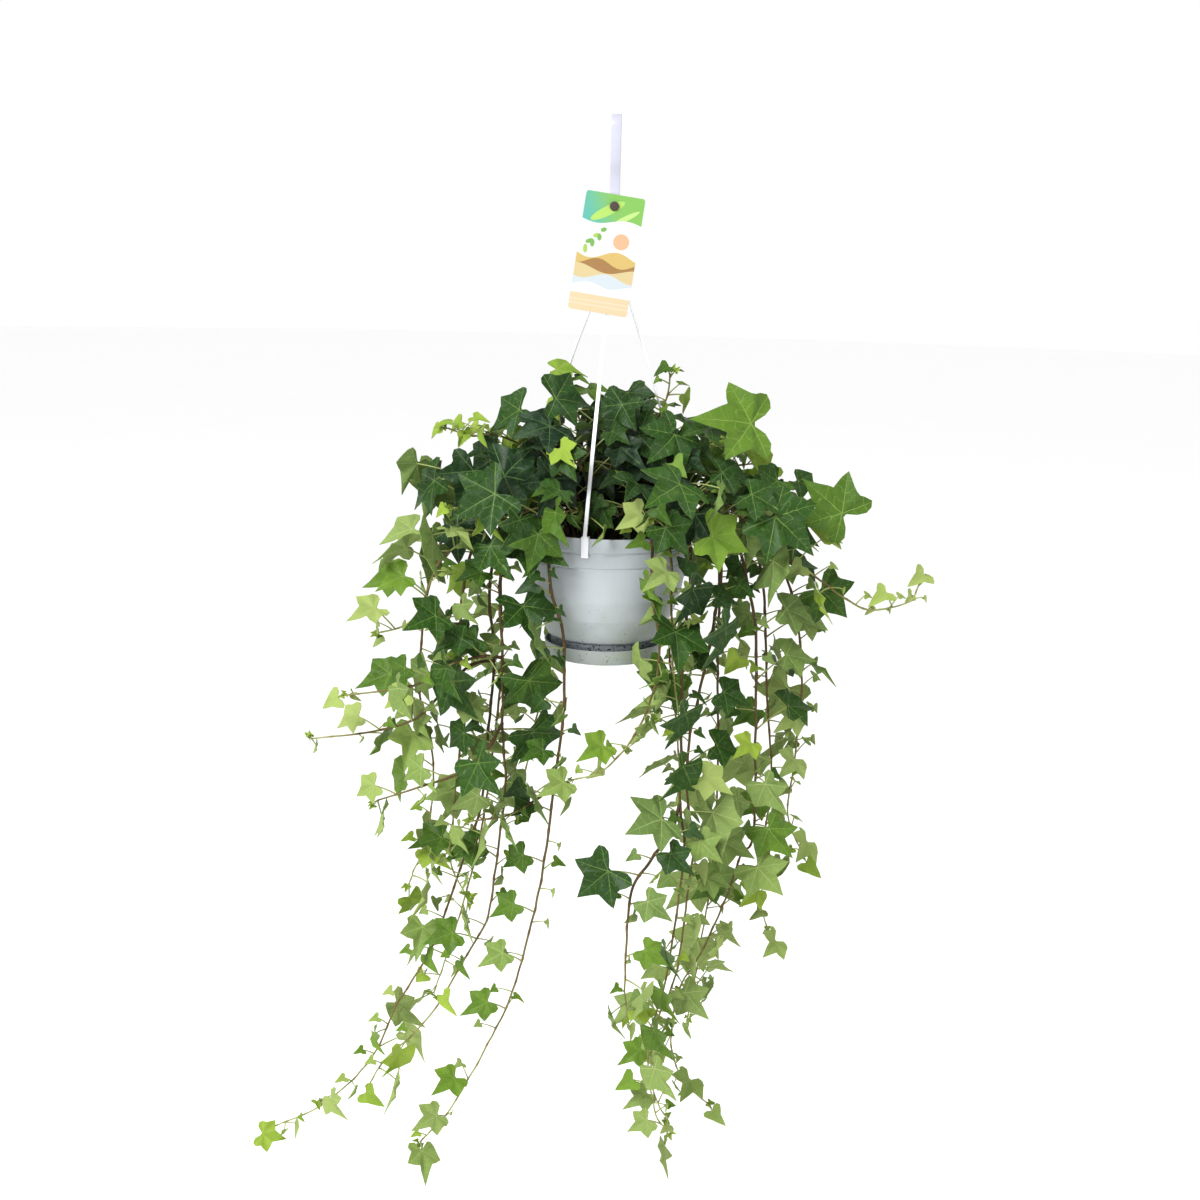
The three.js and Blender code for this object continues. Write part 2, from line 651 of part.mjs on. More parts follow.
// How a leaf sits: the stalk's seat on the blade, the way the tip points and the face looks
function pose(vine, seed, leaf, attempt) {
  const pick = (use) => draw(seed, leaf.index, attempt, use);
  const hero = leaf.last && leaf.index < 100 && vine.end;
  const side = leaf.index % 2 ? -1 : 1;
  const wild = vine.trails ? leaf.f : 0;
  const turned = wild > 0.45 && draw(seed, leaf.index, 0, 3) < 0.3 && !hero ? 180 : 0;
  const spread = hero ? 3 * attempt : 32 + 40 * wild + 4 * attempt;
  const turn = rad((hero ? vine.end[1] : vine.face) + turned + spread * (2 * pick(2) - 1));
  const tilt = rad((hero ? vine.end[2] : vine.lift) + (hero ? 5 : 32) * (2 * pick(4) - 1));
  const facing = v(
    Math.cos(turn) * Math.cos(tilt), Math.sin(turn) * Math.cos(tilt), Math.sin(tilt));
  const down = v(0, 0, -1).addScaledVector(facing, facing.z).normalize();
  const aside = down.clone().cross(facing);
  const swing = rad(hero ? vine.end[3] + 3 * attempt * (2 * pick(5) - 1)
    : side * (15 + 65 * pick(5)));
  const tipward = down.clone().multiplyScalar(Math.cos(swing))
    .addScaledVector(aside, Math.sin(swing));
  const size = hero ? vine.end[0] : leaf.size;
  const long = (vine.stalk ?? 1) * (0.35 + 0.35 * pick(6)) * size + 5 + 1.5 * attempt;
  const reach = leaf.last ? 0.25 * size + 5 + attempt : long;
  const stalk = leaf.last ? leaf.along.clone().addScaledVector(tipward, 0.4)
    : aside.clone().multiplyScalar(0.7 * side).addScaledVector(facing, 0.6)
      .add(v(0, 0, (vine.rise ?? 0.3) * pick(7)));
  // the stalk comes from behind the blade
  stalk.addScaledVector(facing, Math.max(0, BEHIND - stalk.normalize().dot(facing)));
  const seat = leaf.point.clone().addScaledVector(stalk.normalize(), reach);
  return {
    size, seat, stalk, facing, tipward, across: tipward.clone().cross(facing),
    curl: 0.12 + 0.3 * draw(seed, leaf.index, 0, 8),
  };
}

// A thin blade, its facets round one hub and alike on both faces, and the stalk that grows out
// of its back: the three-sided stalk takes the place of the small facet at the notch.
function leafSolid(leaf, set, { half = BLADE_T / 2, grow = 1, from = 0, extra = 0 } = {}) {
  const { size, seat, stalk, facing, tipward, across, curl } = set;
  const kind = OUTLINES[size >= 60 ? 'large' : size >= 36 ? 'middle' : 'small'];
  const wide = PETIOLE_R * STOUT + extra;
  const place = ([x, y, up]) => seat.clone()
    .addScaledVector(across, x * size * grow)
    .addScaledVector(tipward, y * size * grow)
    .addScaledVector(facing, (up - curl * (x * x + y * y)) * size);
  const corner = (turn) => seat.clone()
    .addScaledVector(across, wide * Math.sin(turn))
    .addScaledVector(tipward, wide * Math.cos(turn));
  const third = 2 * Math.PI / 3;
  const right = [...kind].reverse().map(place);
  const left = kind.slice(1).map(([x, y, up]) => place([-x, y, up]));
  const points = [corner(0), corner(third), ...right, ...left, corner(-third)];
  const n = points.length - 1;
  const positions = [half, -half].flatMap(
    (lift) => points.flatMap((point) => point.clone().addScaledVector(facing, lift).toArray()));
  const start = leaf.point.clone().addScaledVector(stalk, from);
  const side = across.clone().addScaledVector(stalk, -across.dot(stalk)).normalize();
  const other = side.clone().cross(stalk).negate();
  for (const turn of [0, third, -third]) {
    positions.push(...start.clone()
      .addScaledVector(side, wide * ROOT_FINE * Math.sin(turn))
      .addScaledVector(other, wide * ROOT_FINE * Math.cos(turn)).toArray());
  }
  const under = n + 1;
  const root = 2 * under;
  const triangles = [root, root + 1, root + 2];
  for (let k = 0; k < n; k++) {
    const a = 1 + k;
    const b = 1 + (k + 1) % n;
    triangles.push(0, a, b, a, a + under, b + under, a, b + under, b);
    if (k < n - 1) triangles.push(under, b + under, a + under);
  }
  const mouth = [under, under + 1, under + n];
  for (let k = 0; k < 3; k++) {
    const [a, b] = [mouth[k], mouth[(k + 1) % 3]];
    const [c, d] = [root + k, root + (k + 1) % 3];
    triangles.push(a, b, c, b, d, c);
  }
  return solidFrom(positions, triangles);
}

// What the photo shows free of leaves, from the front: a slit before the front strand and the
// middle of the pot. Leaves keep out of both.
function makeClearings() {
  const eye = v(-5, -1900, -106);
  const strand = [v(-2, -11, -170), v(-22, -90, -428)];
  const corners = strand.flatMap((point) => [0, 150].flatMap((ahead) => {
    const place = eye.clone().sub(point).normalize().multiplyScalar(ahead).add(point);
    return [-3, 3].map((aside) => [place.x + aside, place.y, place.z]);
  }));
  const pot = new THREE.BoxGeometry(68, 180, 160).translate(-3, -150, RIM_Z - 92);
  return [wasm.Manifold.hull(corners), solidOf(pot)];
}

// The whole ivy. Each leaf is tried at a few turns until it clears everything made before it.
function growVines(obstacles) {
  const boxed = (solid, owner) => ({ solid, owner, box: solid.boundingBox() });
  const near = (a, b) => [0, 1, 2].every((i) => a.min[i] < b.max[i] && b.min[i] < a.max[i]);
  const hits = (solid, list) => {
    const box = solid.boundingBox();
    return list.some((one) => near(box, one.box) && !solid.intersect(one.solid).isEmpty());
  };
  const plants = VINES.map((vine, seed) => {
    const root = [-HOLE_DEEP, 2, 14].map((high) => v(...vine.root, SOIL_Z + high));
    const main = [...root, ...vine.route.map((point) => v(...point))];
    const sides = (vine.side ?? []).map((side) => side.map((point) => v(...point)));
    const stems = [
      growStem(vine, seed, main, 0, vine.bare + HOLE_DEEP),
      ...sides.map((side, k) => growStem(vine, seed, side, 100 * (k + 1), 24)),
    ];
    return { vine, seed, main, stems };
  });
  const made = obstacles.map((solid) => boxed(solid));
  for (const { vine, stems } of plants) {
    made.push(...stems.map((stem) => boxed(stemSolid(stem, 0.4), vine)));
  }
  const grown = plants.map(({ vine, seed, stems }) => {
    let solid = stems.map((stem) => stemSolid(stem, 0)).reduce((a, b) => a.add(b));
    for (const stem of stems) {
      for (const leaf of stem.leaves.filter(({ kept }) => kept)) {
        for (let attempt = 0; attempt < TRIES; attempt++) {
          const set = pose(vine, seed, leaf, attempt);
          const roomy = leafSolid(leaf, set, ROOM);
          if (hits(roomy, made)) continue;
          const whole = leafSolid(leaf, set);
          if (hits(whole, made.filter(({ owner }) => owner !== vine))) continue;
          solid = solid.add(whole);
          made.push(boxed(whole, vine));
          break;
        }
      }
    }
    return { vine, solid };
  });
  return { plants, grown };
}

// Everything together

const strands = Object.entries(STRANDS).map(([name, strand]) => [name, makeStrand(strand)]);
const holder = { pot: makePot(), saucer: makeSaucer(), hanger_hook: makeHook() };
const hard = { ...holder, ...Object.fromEntries(strands) };
const { plants, grown } = growVines([...Object.values(hard), ...makeClearings()]);

const card = meshOf('label_card', makeCard(), surface(0xbfd3c4, 0.5));
card.rotation.set(rad(90 - CARD_FORWARD), rad(CARD_LEAN), 0, 'YXZ');
card.position.set(0, CARD_Y, PEG_Z);

const ivy = new THREE.Group();
for (const [name, solid] of Object.entries(hard)) {
  ivy.add(meshOf(name, solid, surface(name in holder ? 0xdfe3e6 : 0xeceef0, 0.45)));
}
ivy.add(card, meshOf('soil', makeSoil(plants), surface(0x3a2a1e, 0.95)));
for (const { vine, solid } of grown) {
  ivy.add(meshOf(vine.name, solid, surface(vine.trails ? 0x587a45 : 0x35573a, 0.5)));
}

export default ivy;
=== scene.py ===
# Looks of a climbing ivy in a plastic hanging pot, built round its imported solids.
# Units are metres, +Z is up and the front faces -Y. The origin is the hook's inner top.
import json
import math
import random
from types import SimpleNamespace

import bmesh
import bpy
import numpy as np
from bpy.props import FloatProperty, FloatVectorProperty, IntProperty, PointerProperty
from mathutils import Matrix, Vector, kdtree, noise
from mathutils.bvhtree import BVHTree

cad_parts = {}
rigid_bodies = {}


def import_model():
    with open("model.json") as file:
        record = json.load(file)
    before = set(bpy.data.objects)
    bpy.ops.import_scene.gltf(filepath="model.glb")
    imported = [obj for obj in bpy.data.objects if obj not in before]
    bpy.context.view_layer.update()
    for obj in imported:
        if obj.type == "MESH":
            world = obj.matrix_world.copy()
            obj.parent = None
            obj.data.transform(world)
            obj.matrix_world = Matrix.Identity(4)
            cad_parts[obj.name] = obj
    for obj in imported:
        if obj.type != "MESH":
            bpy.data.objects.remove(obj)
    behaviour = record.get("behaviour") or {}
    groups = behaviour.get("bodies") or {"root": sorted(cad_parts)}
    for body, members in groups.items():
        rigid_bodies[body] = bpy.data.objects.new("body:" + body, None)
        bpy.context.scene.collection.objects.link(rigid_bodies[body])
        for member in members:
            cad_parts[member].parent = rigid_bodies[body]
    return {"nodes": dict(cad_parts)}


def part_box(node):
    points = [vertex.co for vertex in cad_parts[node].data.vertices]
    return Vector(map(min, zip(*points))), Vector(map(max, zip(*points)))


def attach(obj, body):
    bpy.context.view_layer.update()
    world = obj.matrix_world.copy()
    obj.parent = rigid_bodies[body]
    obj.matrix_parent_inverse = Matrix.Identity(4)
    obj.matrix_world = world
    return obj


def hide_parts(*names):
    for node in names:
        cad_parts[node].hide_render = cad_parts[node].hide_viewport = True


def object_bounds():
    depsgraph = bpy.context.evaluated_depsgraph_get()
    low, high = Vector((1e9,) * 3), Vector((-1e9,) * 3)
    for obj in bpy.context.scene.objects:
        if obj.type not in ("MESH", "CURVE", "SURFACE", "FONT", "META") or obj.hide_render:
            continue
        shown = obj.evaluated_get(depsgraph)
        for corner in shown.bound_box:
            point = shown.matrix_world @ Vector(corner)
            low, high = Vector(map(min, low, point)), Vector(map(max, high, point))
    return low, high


bl_info = {
    "name": "Hanging ivy",
    "version": (1, 0, 0),
    "blender": (4, 5, 0),
    "location": "3D View > Sidebar > Ivy",
    "description": "Builds the finished look of a climbing ivy in a hanging pot",
    "category": "Object",
}

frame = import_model()
CAD_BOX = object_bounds()

MM = 0.001

# Sizes of the made parts, in millimetres
HANG = 427                  # from the hook's inner top down to the pot's rim
POT_R = 90
POT_H = 140
POT_WALL = 1.8
FOOT_R = 58
SAUCER_R = 65
SAUCER_H = 17
SOIL_BELOW_RIM = 14
SOIL_R = 86.6
SOIL_FACETS = 96
GAP = 0.3
STRAP_W = 10.5
STRAP_T = 2.6
HOOK_R = 11
BOSS_Z = -158
BOSS_R = 8
STRAND_W = 4.2
STRAND_T = 1.8
CLIP_W = 8.0
CARD_W = 62
CARD_H = 124
CARD_T = 0.8
CARD_CORNER = 3
CARD_TOP = -78
CARD_LEAN = 8
CARD_FORWARD = 11
CARD_Y = -4.6
PEG_Z = -90
PEG_R = 2.4
RIM_Z = -HANG
FLOOR_Z = RIM_Z - POT_H
SOIL_Z = RIM_Z - SOIL_BELOW_RIM
FLOOR_R = 20000             # of the floor that the light falls on
FLOOR_FACETS = 64
STRANDS = [                 # name, turn round the pot, bow outwards
    ("hanger_strand_front", -104, 2),
    ("hanger_strand_right", 16, 4),
    ("hanger_strand_left", 150, 12),
]

# What rules where the ivy's leaves sit, in millimetres
HOLE_DEEP = 10              # root below the soil
LINK = 80                   # longest straight length of a packed stem
TRIES = 36                  # turns that a packed leaf may take
FREE_TRIES = 16             # turns that any other leaf may take
LARGE_FROM = 60             # shortest large leaf
MIDDLE_FROM = 36            # shortest middling leaf
FINE_SPACE = (11, 24)       # between two fine leaves, in the crown and on a trail
FINE_REACH = (55, 8)        # longest that their stalks grow by, in the crown and on a trail
BOX_SPARE = 7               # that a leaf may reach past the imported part
STEPS = 12                  # steps of a smooth line from one point to the next
BEHIND = 0.3                # share of a stalk's way that comes from behind its blade
STALK_RISE = 0.3
STEM_STEP = 3.2             # between two rings of a stem
STEM_ROOT_R = 1.9
STEM_TIP_R = 0.8
SAME_PLACE = 0.2            # at most, from a leaf's tip to a packed corner
CROWN_HEART_Z = RIM_Z + 45
CROWN_HEART_R = (65, 125)   # the heart's shade ends from one to the other
RUFFLE = 0.012              # of a leaf's edge, in leaf lengths

# Where the camera stands, in metres. The leaves keep some things clear that it sees.
EYE = (-0.005, -1.900, -0.106)
GAMMA = 0.88


def color(name, description, default):
    return FloatVectorProperty(
        name=name, description=description, subtype="COLOR", default=default)


def distance(name, description, default):
    return FloatProperty(
        name=name, description=description, subtype="DISTANCE", unit="LENGTH", default=default)


class PlantLook(bpy.types.PropertyGroup):
    """Sizes and colours of the ivy"""

    blade_thickness: distance("Blade thickness", "Thickness of a leaf blade", 0.0006)
    petiole_radius: distance("Leaf stalk radius", "Radius of a leaf's stalk", 0.00075)
    stem_sides: IntProperty(
        name="Stem sides", description="Facets round a stem", default=8, min=3)
    mature: color("Mature leaf", "Face of an old leaf", (0.0100, 0.0270, 0.0135))
    green: color("Green leaf", "Face of a grown leaf", (0.032, 0.086, 0.013))
    fresh: color("Fresh leaf", "Face of a leaf of this year", (0.175, 0.290, 0.040))
    lime: color("Young leaf", "Face of a leaf just opened", (0.360, 0.480, 0.075))
    vein: color("Vein", "Veins on the face of a leaf", (0.115, 0.195, 0.062))
    back_mature: color(
        "Back of a mature leaf", "Underside of an old leaf", (0.130, 0.215, 0.060))
    back_young: color(
        "Back of a young leaf", "Underside of a young leaf", (0.400, 0.480, 0.175))
    bark: color("Old stem", "Bark of an old stem", (0.060, 0.036, 0.017))
    tan: color("Grown stem", "Skin of a grown stem", (0.150, 0.122, 0.042))
    sprout: color("Young stem", "Skin of a young stem or leaf stalk", (0.290, 0.340, 0.120))


class HolderLook(bpy.types.PropertyGroup):
    """Colours of the pot, the hanger and the card"""

    pot: color("Pot", "Plastic of the pot", (0.405, 0.437, 0.460))
    saucer: color("Saucer", "Plastic of the saucer", (0.330, 0.358, 0.368))
    hanger: color("Hook", "Plastic of the strap hook", (0.415, 0.418, 0.485))
    # Painted light: the strands and clips are of the hook's white plastic but painted far paler,
    # which lifts the shade on the side strands
    strand: color("Strands", "Plastic of the strands and clips", (0.860, 0.865, 0.900))
    # Painted shade: the peg is of the hook's plastic; its near-black head stands for the shade in
    # the card's hole round it
    stud: color("Stud", "Stud that the card hangs on", (0.060, 0.042, 0.036))
    card_green: color("Card head", "Field at the head of the card", (0.156, 0.328, 0.074))
    card_foot: color("Card foot", "Band at the foot of the card", (0.490, 0.378, 0.245))
    soil: color("Soil", "Potting soil", (0.022, 0.014, 0.009))
    facets: IntProperty(
        name="Facets", description="Facets round the pot and the saucer", default=128, min=24)


class StageLook(bpy.types.PropertyGroup):
    """Camera, lights and floor"""

    eye: FloatVectorProperty(
        name="Camera", description="Where the camera stands", subtype="TRANSLATION",
        unit="LENGTH", default=EYE)
    pitch: FloatProperty(
        name="Pitch", description="How far the camera looks down, in degrees", default=12.0)
    roll: FloatProperty(
        name="Roll", description="How far the picture leans clockwise, in degrees", default=1.4)
    lens: FloatProperty(
        name="Lens", description="Focal length in millimetres on a 36 mm frame", default=53.4)
    floor_drop: distance("Floor", "Height of the floor", -1.450)
    sky: FloatProperty(
        name="Sky", description="Brightness of the white surroundings", default=1.0)
    key: FloatProperty(name="Key light", description="Power of the key light", default=150.0)
    fill: FloatProperty(name="Fill light", description="Power of the fill light", default=14.0)


class Wire:
    """One output of a node. A sum or product on it adds the Math node that it stands for."""

    def __init__(self, graph, socket):
        self.graph, self.socket = graph, socket

    def out(self, name):
        """Another output of the same node."""
        return Wire(self.graph, self.socket.node.outputs[name])

    def __rsub__(self, other):
        return self.graph.math("SUBTRACT", other, self)


def math_step(operation):
    return lambda *values: values[0].graph.math(operation, *values)


for sign, operation in {
        "add": "ADD", "radd": "ADD", "sub": "SUBTRACT", "mul": "MULTIPLY", "rmul": "MULTIPLY",
        "truediv": "DIVIDE", "pow": "POWER", "abs": "ABSOLUTE"}.items():
    setattr(Wire, "__%s__" % sign, math_step(operation))


class Graph:
    """Adds nodes to a shader or geometry tree and fills their sockets."""

    def __init__(self, tree, owner):
        self.tree, self.owner = tree, owner
        tree.nodes.clear()

    def add(self, kind, settings=None, *values, **sockets):
        """A node with its settings made first, then the values or links of its sockets.

        Values fill the sockets by number. Names are written with bars for their spaces.
        """
        node = self.tree.nodes.new(kind)
        for name, value in (settings or {}).items():
            if name == "stops":
                self.set_stops(node.color_ramp, value)
            else:
                setattr(node, name, value)
        for socket, value in zip(node.inputs, values):
            self.fill(socket, value)
        for key, value in sockets.items():
            name = key.replace("_", " ")
            self.fill(next(s for s in node.inputs if s.enabled and s.name == name), value)
        shown = [socket for socket in node.outputs if socket.enabled]
        return Wire(self, shown[0]) if shown else None

    def fill(self, socket, value):
        if isinstance(value, Wire):
            self.tree.links.new(value.socket, socket)
        elif socket.type == "RGBA" and len(value) == 3:
            socket.default_value = (*value, 1.0)
        else:
            socket.default_value = value

    def set_stops(self, ramp, stops):
        while len(ramp.elements) < len(stops):
            ramp.elements.new(1.0)
        for element, (place, color) in zip(ramp.elements, stops):
            element.position = place
            element.color = (*color, 1.0)

    def math(self, operation, *values):
        return self.add("ShaderNodeMath", {"operation": operation}, *values)

    def scaled(self, vector, scale):
        return self.add("ShaderNodeVectorMath", {"operation": "SCALE"}, vector, Scale=scale)

    def split(self, vector):
        """The X, Y and Z of a vector."""
        parts = self.add("ShaderNodeSeparateXYZ", None, vector)
        return [parts.out(axis) for axis in "XYZ"]

    def smooth(self, value, low, high):
        """0 below low, 1 above high and a smooth step between them."""
        return self.add(
            "ShaderNodeMapRange", {"interpolation_type": "SMOOTHSTEP"},
            Value=value, From_Min=low, From_Max=high)

    def blend(self, share, first, second):
        """A colour between two, from the first at 0 to the second at 1."""
        return self.add("ShaderNodeMix", {"data_type": "RGBA"}, Factor=share, A=first, B=second)

    def ramp(self, value, stops):
        return self.add("ShaderNodeValToRGB", {"stops": stops}, value)

    def noise(self, vector, scale, detail=3.0, **sockets):
        return self.add(
            "ShaderNodeTexNoise", {"noise_dimensions": "4D" if "W" in sockets else "3D"},
            Vector=vector, Scale=scale, Detail=detail, **sockets)

    def place(self):
        """The place on the object, in metres."""
        return self.add("ShaderNodeTexCoord").out("Object")

    def stretched(self, vector, times):
        """A place for a texture that runs down Z, so many times as long as wide."""
        return self.add(
            "ShaderNodeMapping", {"vector_type": "TEXTURE"},
            Vector=vector, Scale=(1.0, 1.0, times))

    def on_map(self):
        """The place on the UV map."""
        return self.add("ShaderNodeUVMap", {"uv_map": "UVMap"})

    def attribute(self, name):
        """A number that the mesh carries, in a material."""
        return self.add("ShaderNodeAttribute", {"attribute_name": name}).out("Fac")

    def bump(self, height, distance, strength):
        return self.add(
            "ShaderNodeBump", Height=height, Distance=distance, Strength=strength)

    def coat(self, color, rough, **sockets):
        return self.add(
            "ShaderNodeBsdfPrincipled", Base_Color=color, Roughness=rough, **sockets)

    def carried(self, name, kind="FLOAT"):
        """A number or vector that the mesh carries, in a geometry tree."""
        return self.add("GeometryNodeInputNamedAttribute", {"data_type": kind}, name)

    def dressed(self, geometry, material):
        return self.add(
            "GeometryNodeSetMaterial", Geometry=geometry, Material=material)

    def finish(self, last):
        """Ends the tree with its last shader or geometry and gives the tree's owner."""
        grown = self.owner == self.tree
        self.add("NodeGroupOutput" if grown else "ShaderNodeOutputMaterial", None, last)
        return self.owner


def new_material(name):
    material = bpy.data.materials.new(name)
    material.use_nodes = True
    return Graph(material.node_tree, material)


def leaf_material(look):
    """Leathery ivy leaf: pale veins on the face, dull and paler at the back."""
    g = new_material("ivy_leaf")
    tone, mark = g.attribute("tone"), g.attribute("mark")
    # Painted light: the pale trail leaves take their backs' colour for the light that shines
    # through them
    under = g.math("MAXIMUM", g.attribute("under"), g.attribute("pale"))
    # The UV map holds the place on a leaf of standard form, whose stalk sits at the hub
    uv = g.on_map()
    waver = g.noise(uv, 7.0, 2.0, W=mark * 40.0)
    u, v, _ = g.split(uv)
    across = abs(u - HUB_U + (waver - 0.5) * 0.035)
    along = v - HUB_V + (waver - 0.5) * 0.03
    far = (across ** 2.0 + along * along) ** 0.5
    near = g.math("MAXIMUM", across, along * -3.0)
    for turn in LOBE_TURNS:
        s, c = math.sin(math.radians(turn)), math.cos(math.radians(turn))
        near = g.math("MINIMUM", near, abs(across * c - along * s))
    width = 0.0105 - far * 0.011
    main = 1.0 - g.smooth(near, width * 0.4, width * 1.2)
    branch = abs(g.math("FRACT", (far - near * 0.8) * 7.0 + waver * 0.9) - 0.5)
    side = (1.0 - g.smooth(branch, 0.01, 0.075)) * g.smooth(far, 0.06, 0.13)
    side = side * g.smooth(g.noise(uv, 9.0, 1.0, W=mark * 17.0), 0.30, 0.52)
    cells = g.add(
        "ShaderNodeTexVoronoi", {"feature": "DISTANCE_TO_EDGE"}, Vector=uv, Scale=17.0)
    net = 1.0 - g.smooth(cells, 0.01, 0.06)
    place = g.place()
    cloud = g.noise(place, 45.0)
    age = tone + (cloud - 0.5) * 0.16 + (waver - 0.5) * 0.10
    face = g.ramp(age, [
        (0.0, look.mature), (0.33, look.green), (0.66, look.fresh), (1.0, look.lime)])
    vein = g.blend(tone, look.vein, (0.48, 0.62, 0.16))
    # Painted sheen: grey-green patches on the older leaves stand in for the white surroundings
    # that they reflect
    painted_sheen = g.smooth(g.noise(place, 62.0), 0.46, 0.66) * (1.0 - tone) ** 2.0
    face = g.blend(painted_sheen * 0.62, face, (0.060, 0.098, 0.058))
    veined = main * 0.64 + side * 0.36 + net * 0.13
    face = g.blend(g.math("MINIMUM", veined * (1.0 - tone * 0.45), 1.0), face, vein)
    back = g.blend(age, look.back_mature, look.back_young)
    back = g.blend(main * 0.55 + side * 0.25, back, (0.50, 0.58, 0.26))
    tint = g.blend(under, face, back)
    # Painted shade: the leaves in the heart of the crown, the old ones most, are painted darker
    # for the little light that reaches them
    x, y, z = g.split(place)
    rise = z - CROWN_HEART_Z * MM
    reach = (x ** 2.0 + y ** 2.0 + rise * rise) ** 0.5
    shade = 1.0 - g.smooth(reach, CROWN_HEART_R[0] * MM, CROWN_HEART_R[1] * MM)
    tint = g.blend(shade * (1.0 - tone * 0.7) * 0.75, tint, (0.0020, 0.0055, 0.0020))
    relief = main * -0.7 + side * -0.35 + net * 0.15 + g.noise(place, 900.0, 2.0) * 0.25
    body = g.coat(
        tint, 0.34 + under * 0.28 + (cloud - 0.5) * 0.20, Specular_IOR_Level=0.15,
        Normal=g.bump(relief * (1.0 - under * 1.9), 0.0005, 0.8))
    glow = g.add("ShaderNodeBsdfTranslucent", Color=(0.20, 0.40, 0.05))
    return g.finish(g.add("ShaderNodeMixShader", None, 0.06 + tone * 0.22, body, glow))


def stem_material(look):
    """Stems: purplish brown when old, tan, then green at the tips, redder at the joints."""
    g = new_material("ivy_stem")
    place = g.place()
    patch, fine = g.noise(place, 70.0), g.noise(place, 650.0, 2.0)
    tint = g.ramp(g.attribute("age") + (patch - 0.5) * 0.35, [
        (0.0, look.bark), (0.45, look.tan), (0.85, look.sprout), (1.0, look.sprout)])
    tint = g.blend(g.attribute("joint") * 0.5, tint, (0.15, 0.065, 0.030))
    tint = g.blend(g.smooth(fine, 0.55, 0.75) * 0.22, tint, (0.36, 0.30, 0.13))
    return g.finish(g.coat(
        tint, 0.55 + (patch - 0.5) * 0.2, Specular_IOR_Level=0.22,
        Normal=g.bump(fine, 0.0003, 0.6)))


def darker(color, share):
    return tuple(c * share for c in color)


def plastic_material(name, color, dirt, foot=0.0):
    """Moulded plastic with a faint grain and streaks, its foot darkened by a painted shade band
    where it stands in the saucer, speckled with soil.
    """
    g = new_material(name)
    place = g.place()
    streak = g.noise(g.stretched(place, 9.0), 55.0, 4.0)
    grain, cloud = g.noise(place, 1500.0, 2.0), g.noise(place, 14.0)
    speck = g.noise(place, 420.0, 1.0)
    height = g.split(place)[2]

    def above(low, high):
        """Mask of what lies above a height over the pot's floor, in millimetres."""
        return g.smooth(height, (FLOOR_Z + low) * MM, (FLOOR_Z + high) * MM)

    low = 1.0 - above(0, 95)
    # Painted shade: a dark bluish band round the pot's foot about the saucer's lip, where the
    # saucer shades it; the soil specks lie in the same band
    gutter_shade_and_specks = (above(7, 11) - above(20.5, 24)) * foot
    soiled = g.smooth(streak, 0.48, 0.72) * (0.25 + low * 0.75) * dirt
    dots = g.smooth(speck, 0.71, 0.74) * (0.15 + low) * dirt
    stain = g.smooth(g.noise(place, 22.0, 2.0), 0.40, 0.62) * low * dirt
    tint = g.blend(g.smooth(cloud, 0.35, 0.70) * 0.5, color, darker(color, 0.80))
    for share, stained in (
            (g.math("MINIMUM", soiled * 0.5, 1.0), (0.32, 0.33, 0.27)),
            (g.math("MINIMUM", stain * 0.75, 1.0), (0.270, 0.305, 0.255)),
            # the painted shade of the band at the foot
            (gutter_shade_and_specks * 0.85, (0.150, 0.172, 0.200)),
            (g.math("MINIMUM", dots * 0.8, 1.0), (0.03, 0.03, 0.03)),
            (g.smooth(speck, 0.60, 0.64) * gutter_shade_and_specks, (0.012, 0.012, 0.012))):
        tint = g.blend(share, tint, stained)
    return g.finish(g.coat(
        tint, 0.36 + soiled * 0.25 + (cloud - 0.5) * 0.12, Specular_IOR_Level=0.45,
        Normal=g.bump(grain, 0.0001, 0.5)))


def hanger_material(name, color):
    """White plastic of the hook and strands, a little milky, with fine draw lines."""
    g = new_material(name)
    place = g.place()
    lines, cloud = g.noise(g.stretched(place, 30.0), 900.0, 2.0), g.noise(place, 30.0, 2.0)
    tint = g.blend(g.smooth(cloud, 0.3, 0.8) * 0.6, color, darker(color, 0.86))
    return g.finish(g.coat(
        tint, 0.30 + (cloud - 0.5) * 0.15, Normal=g.bump(lines, 0.0002, 0.4)))


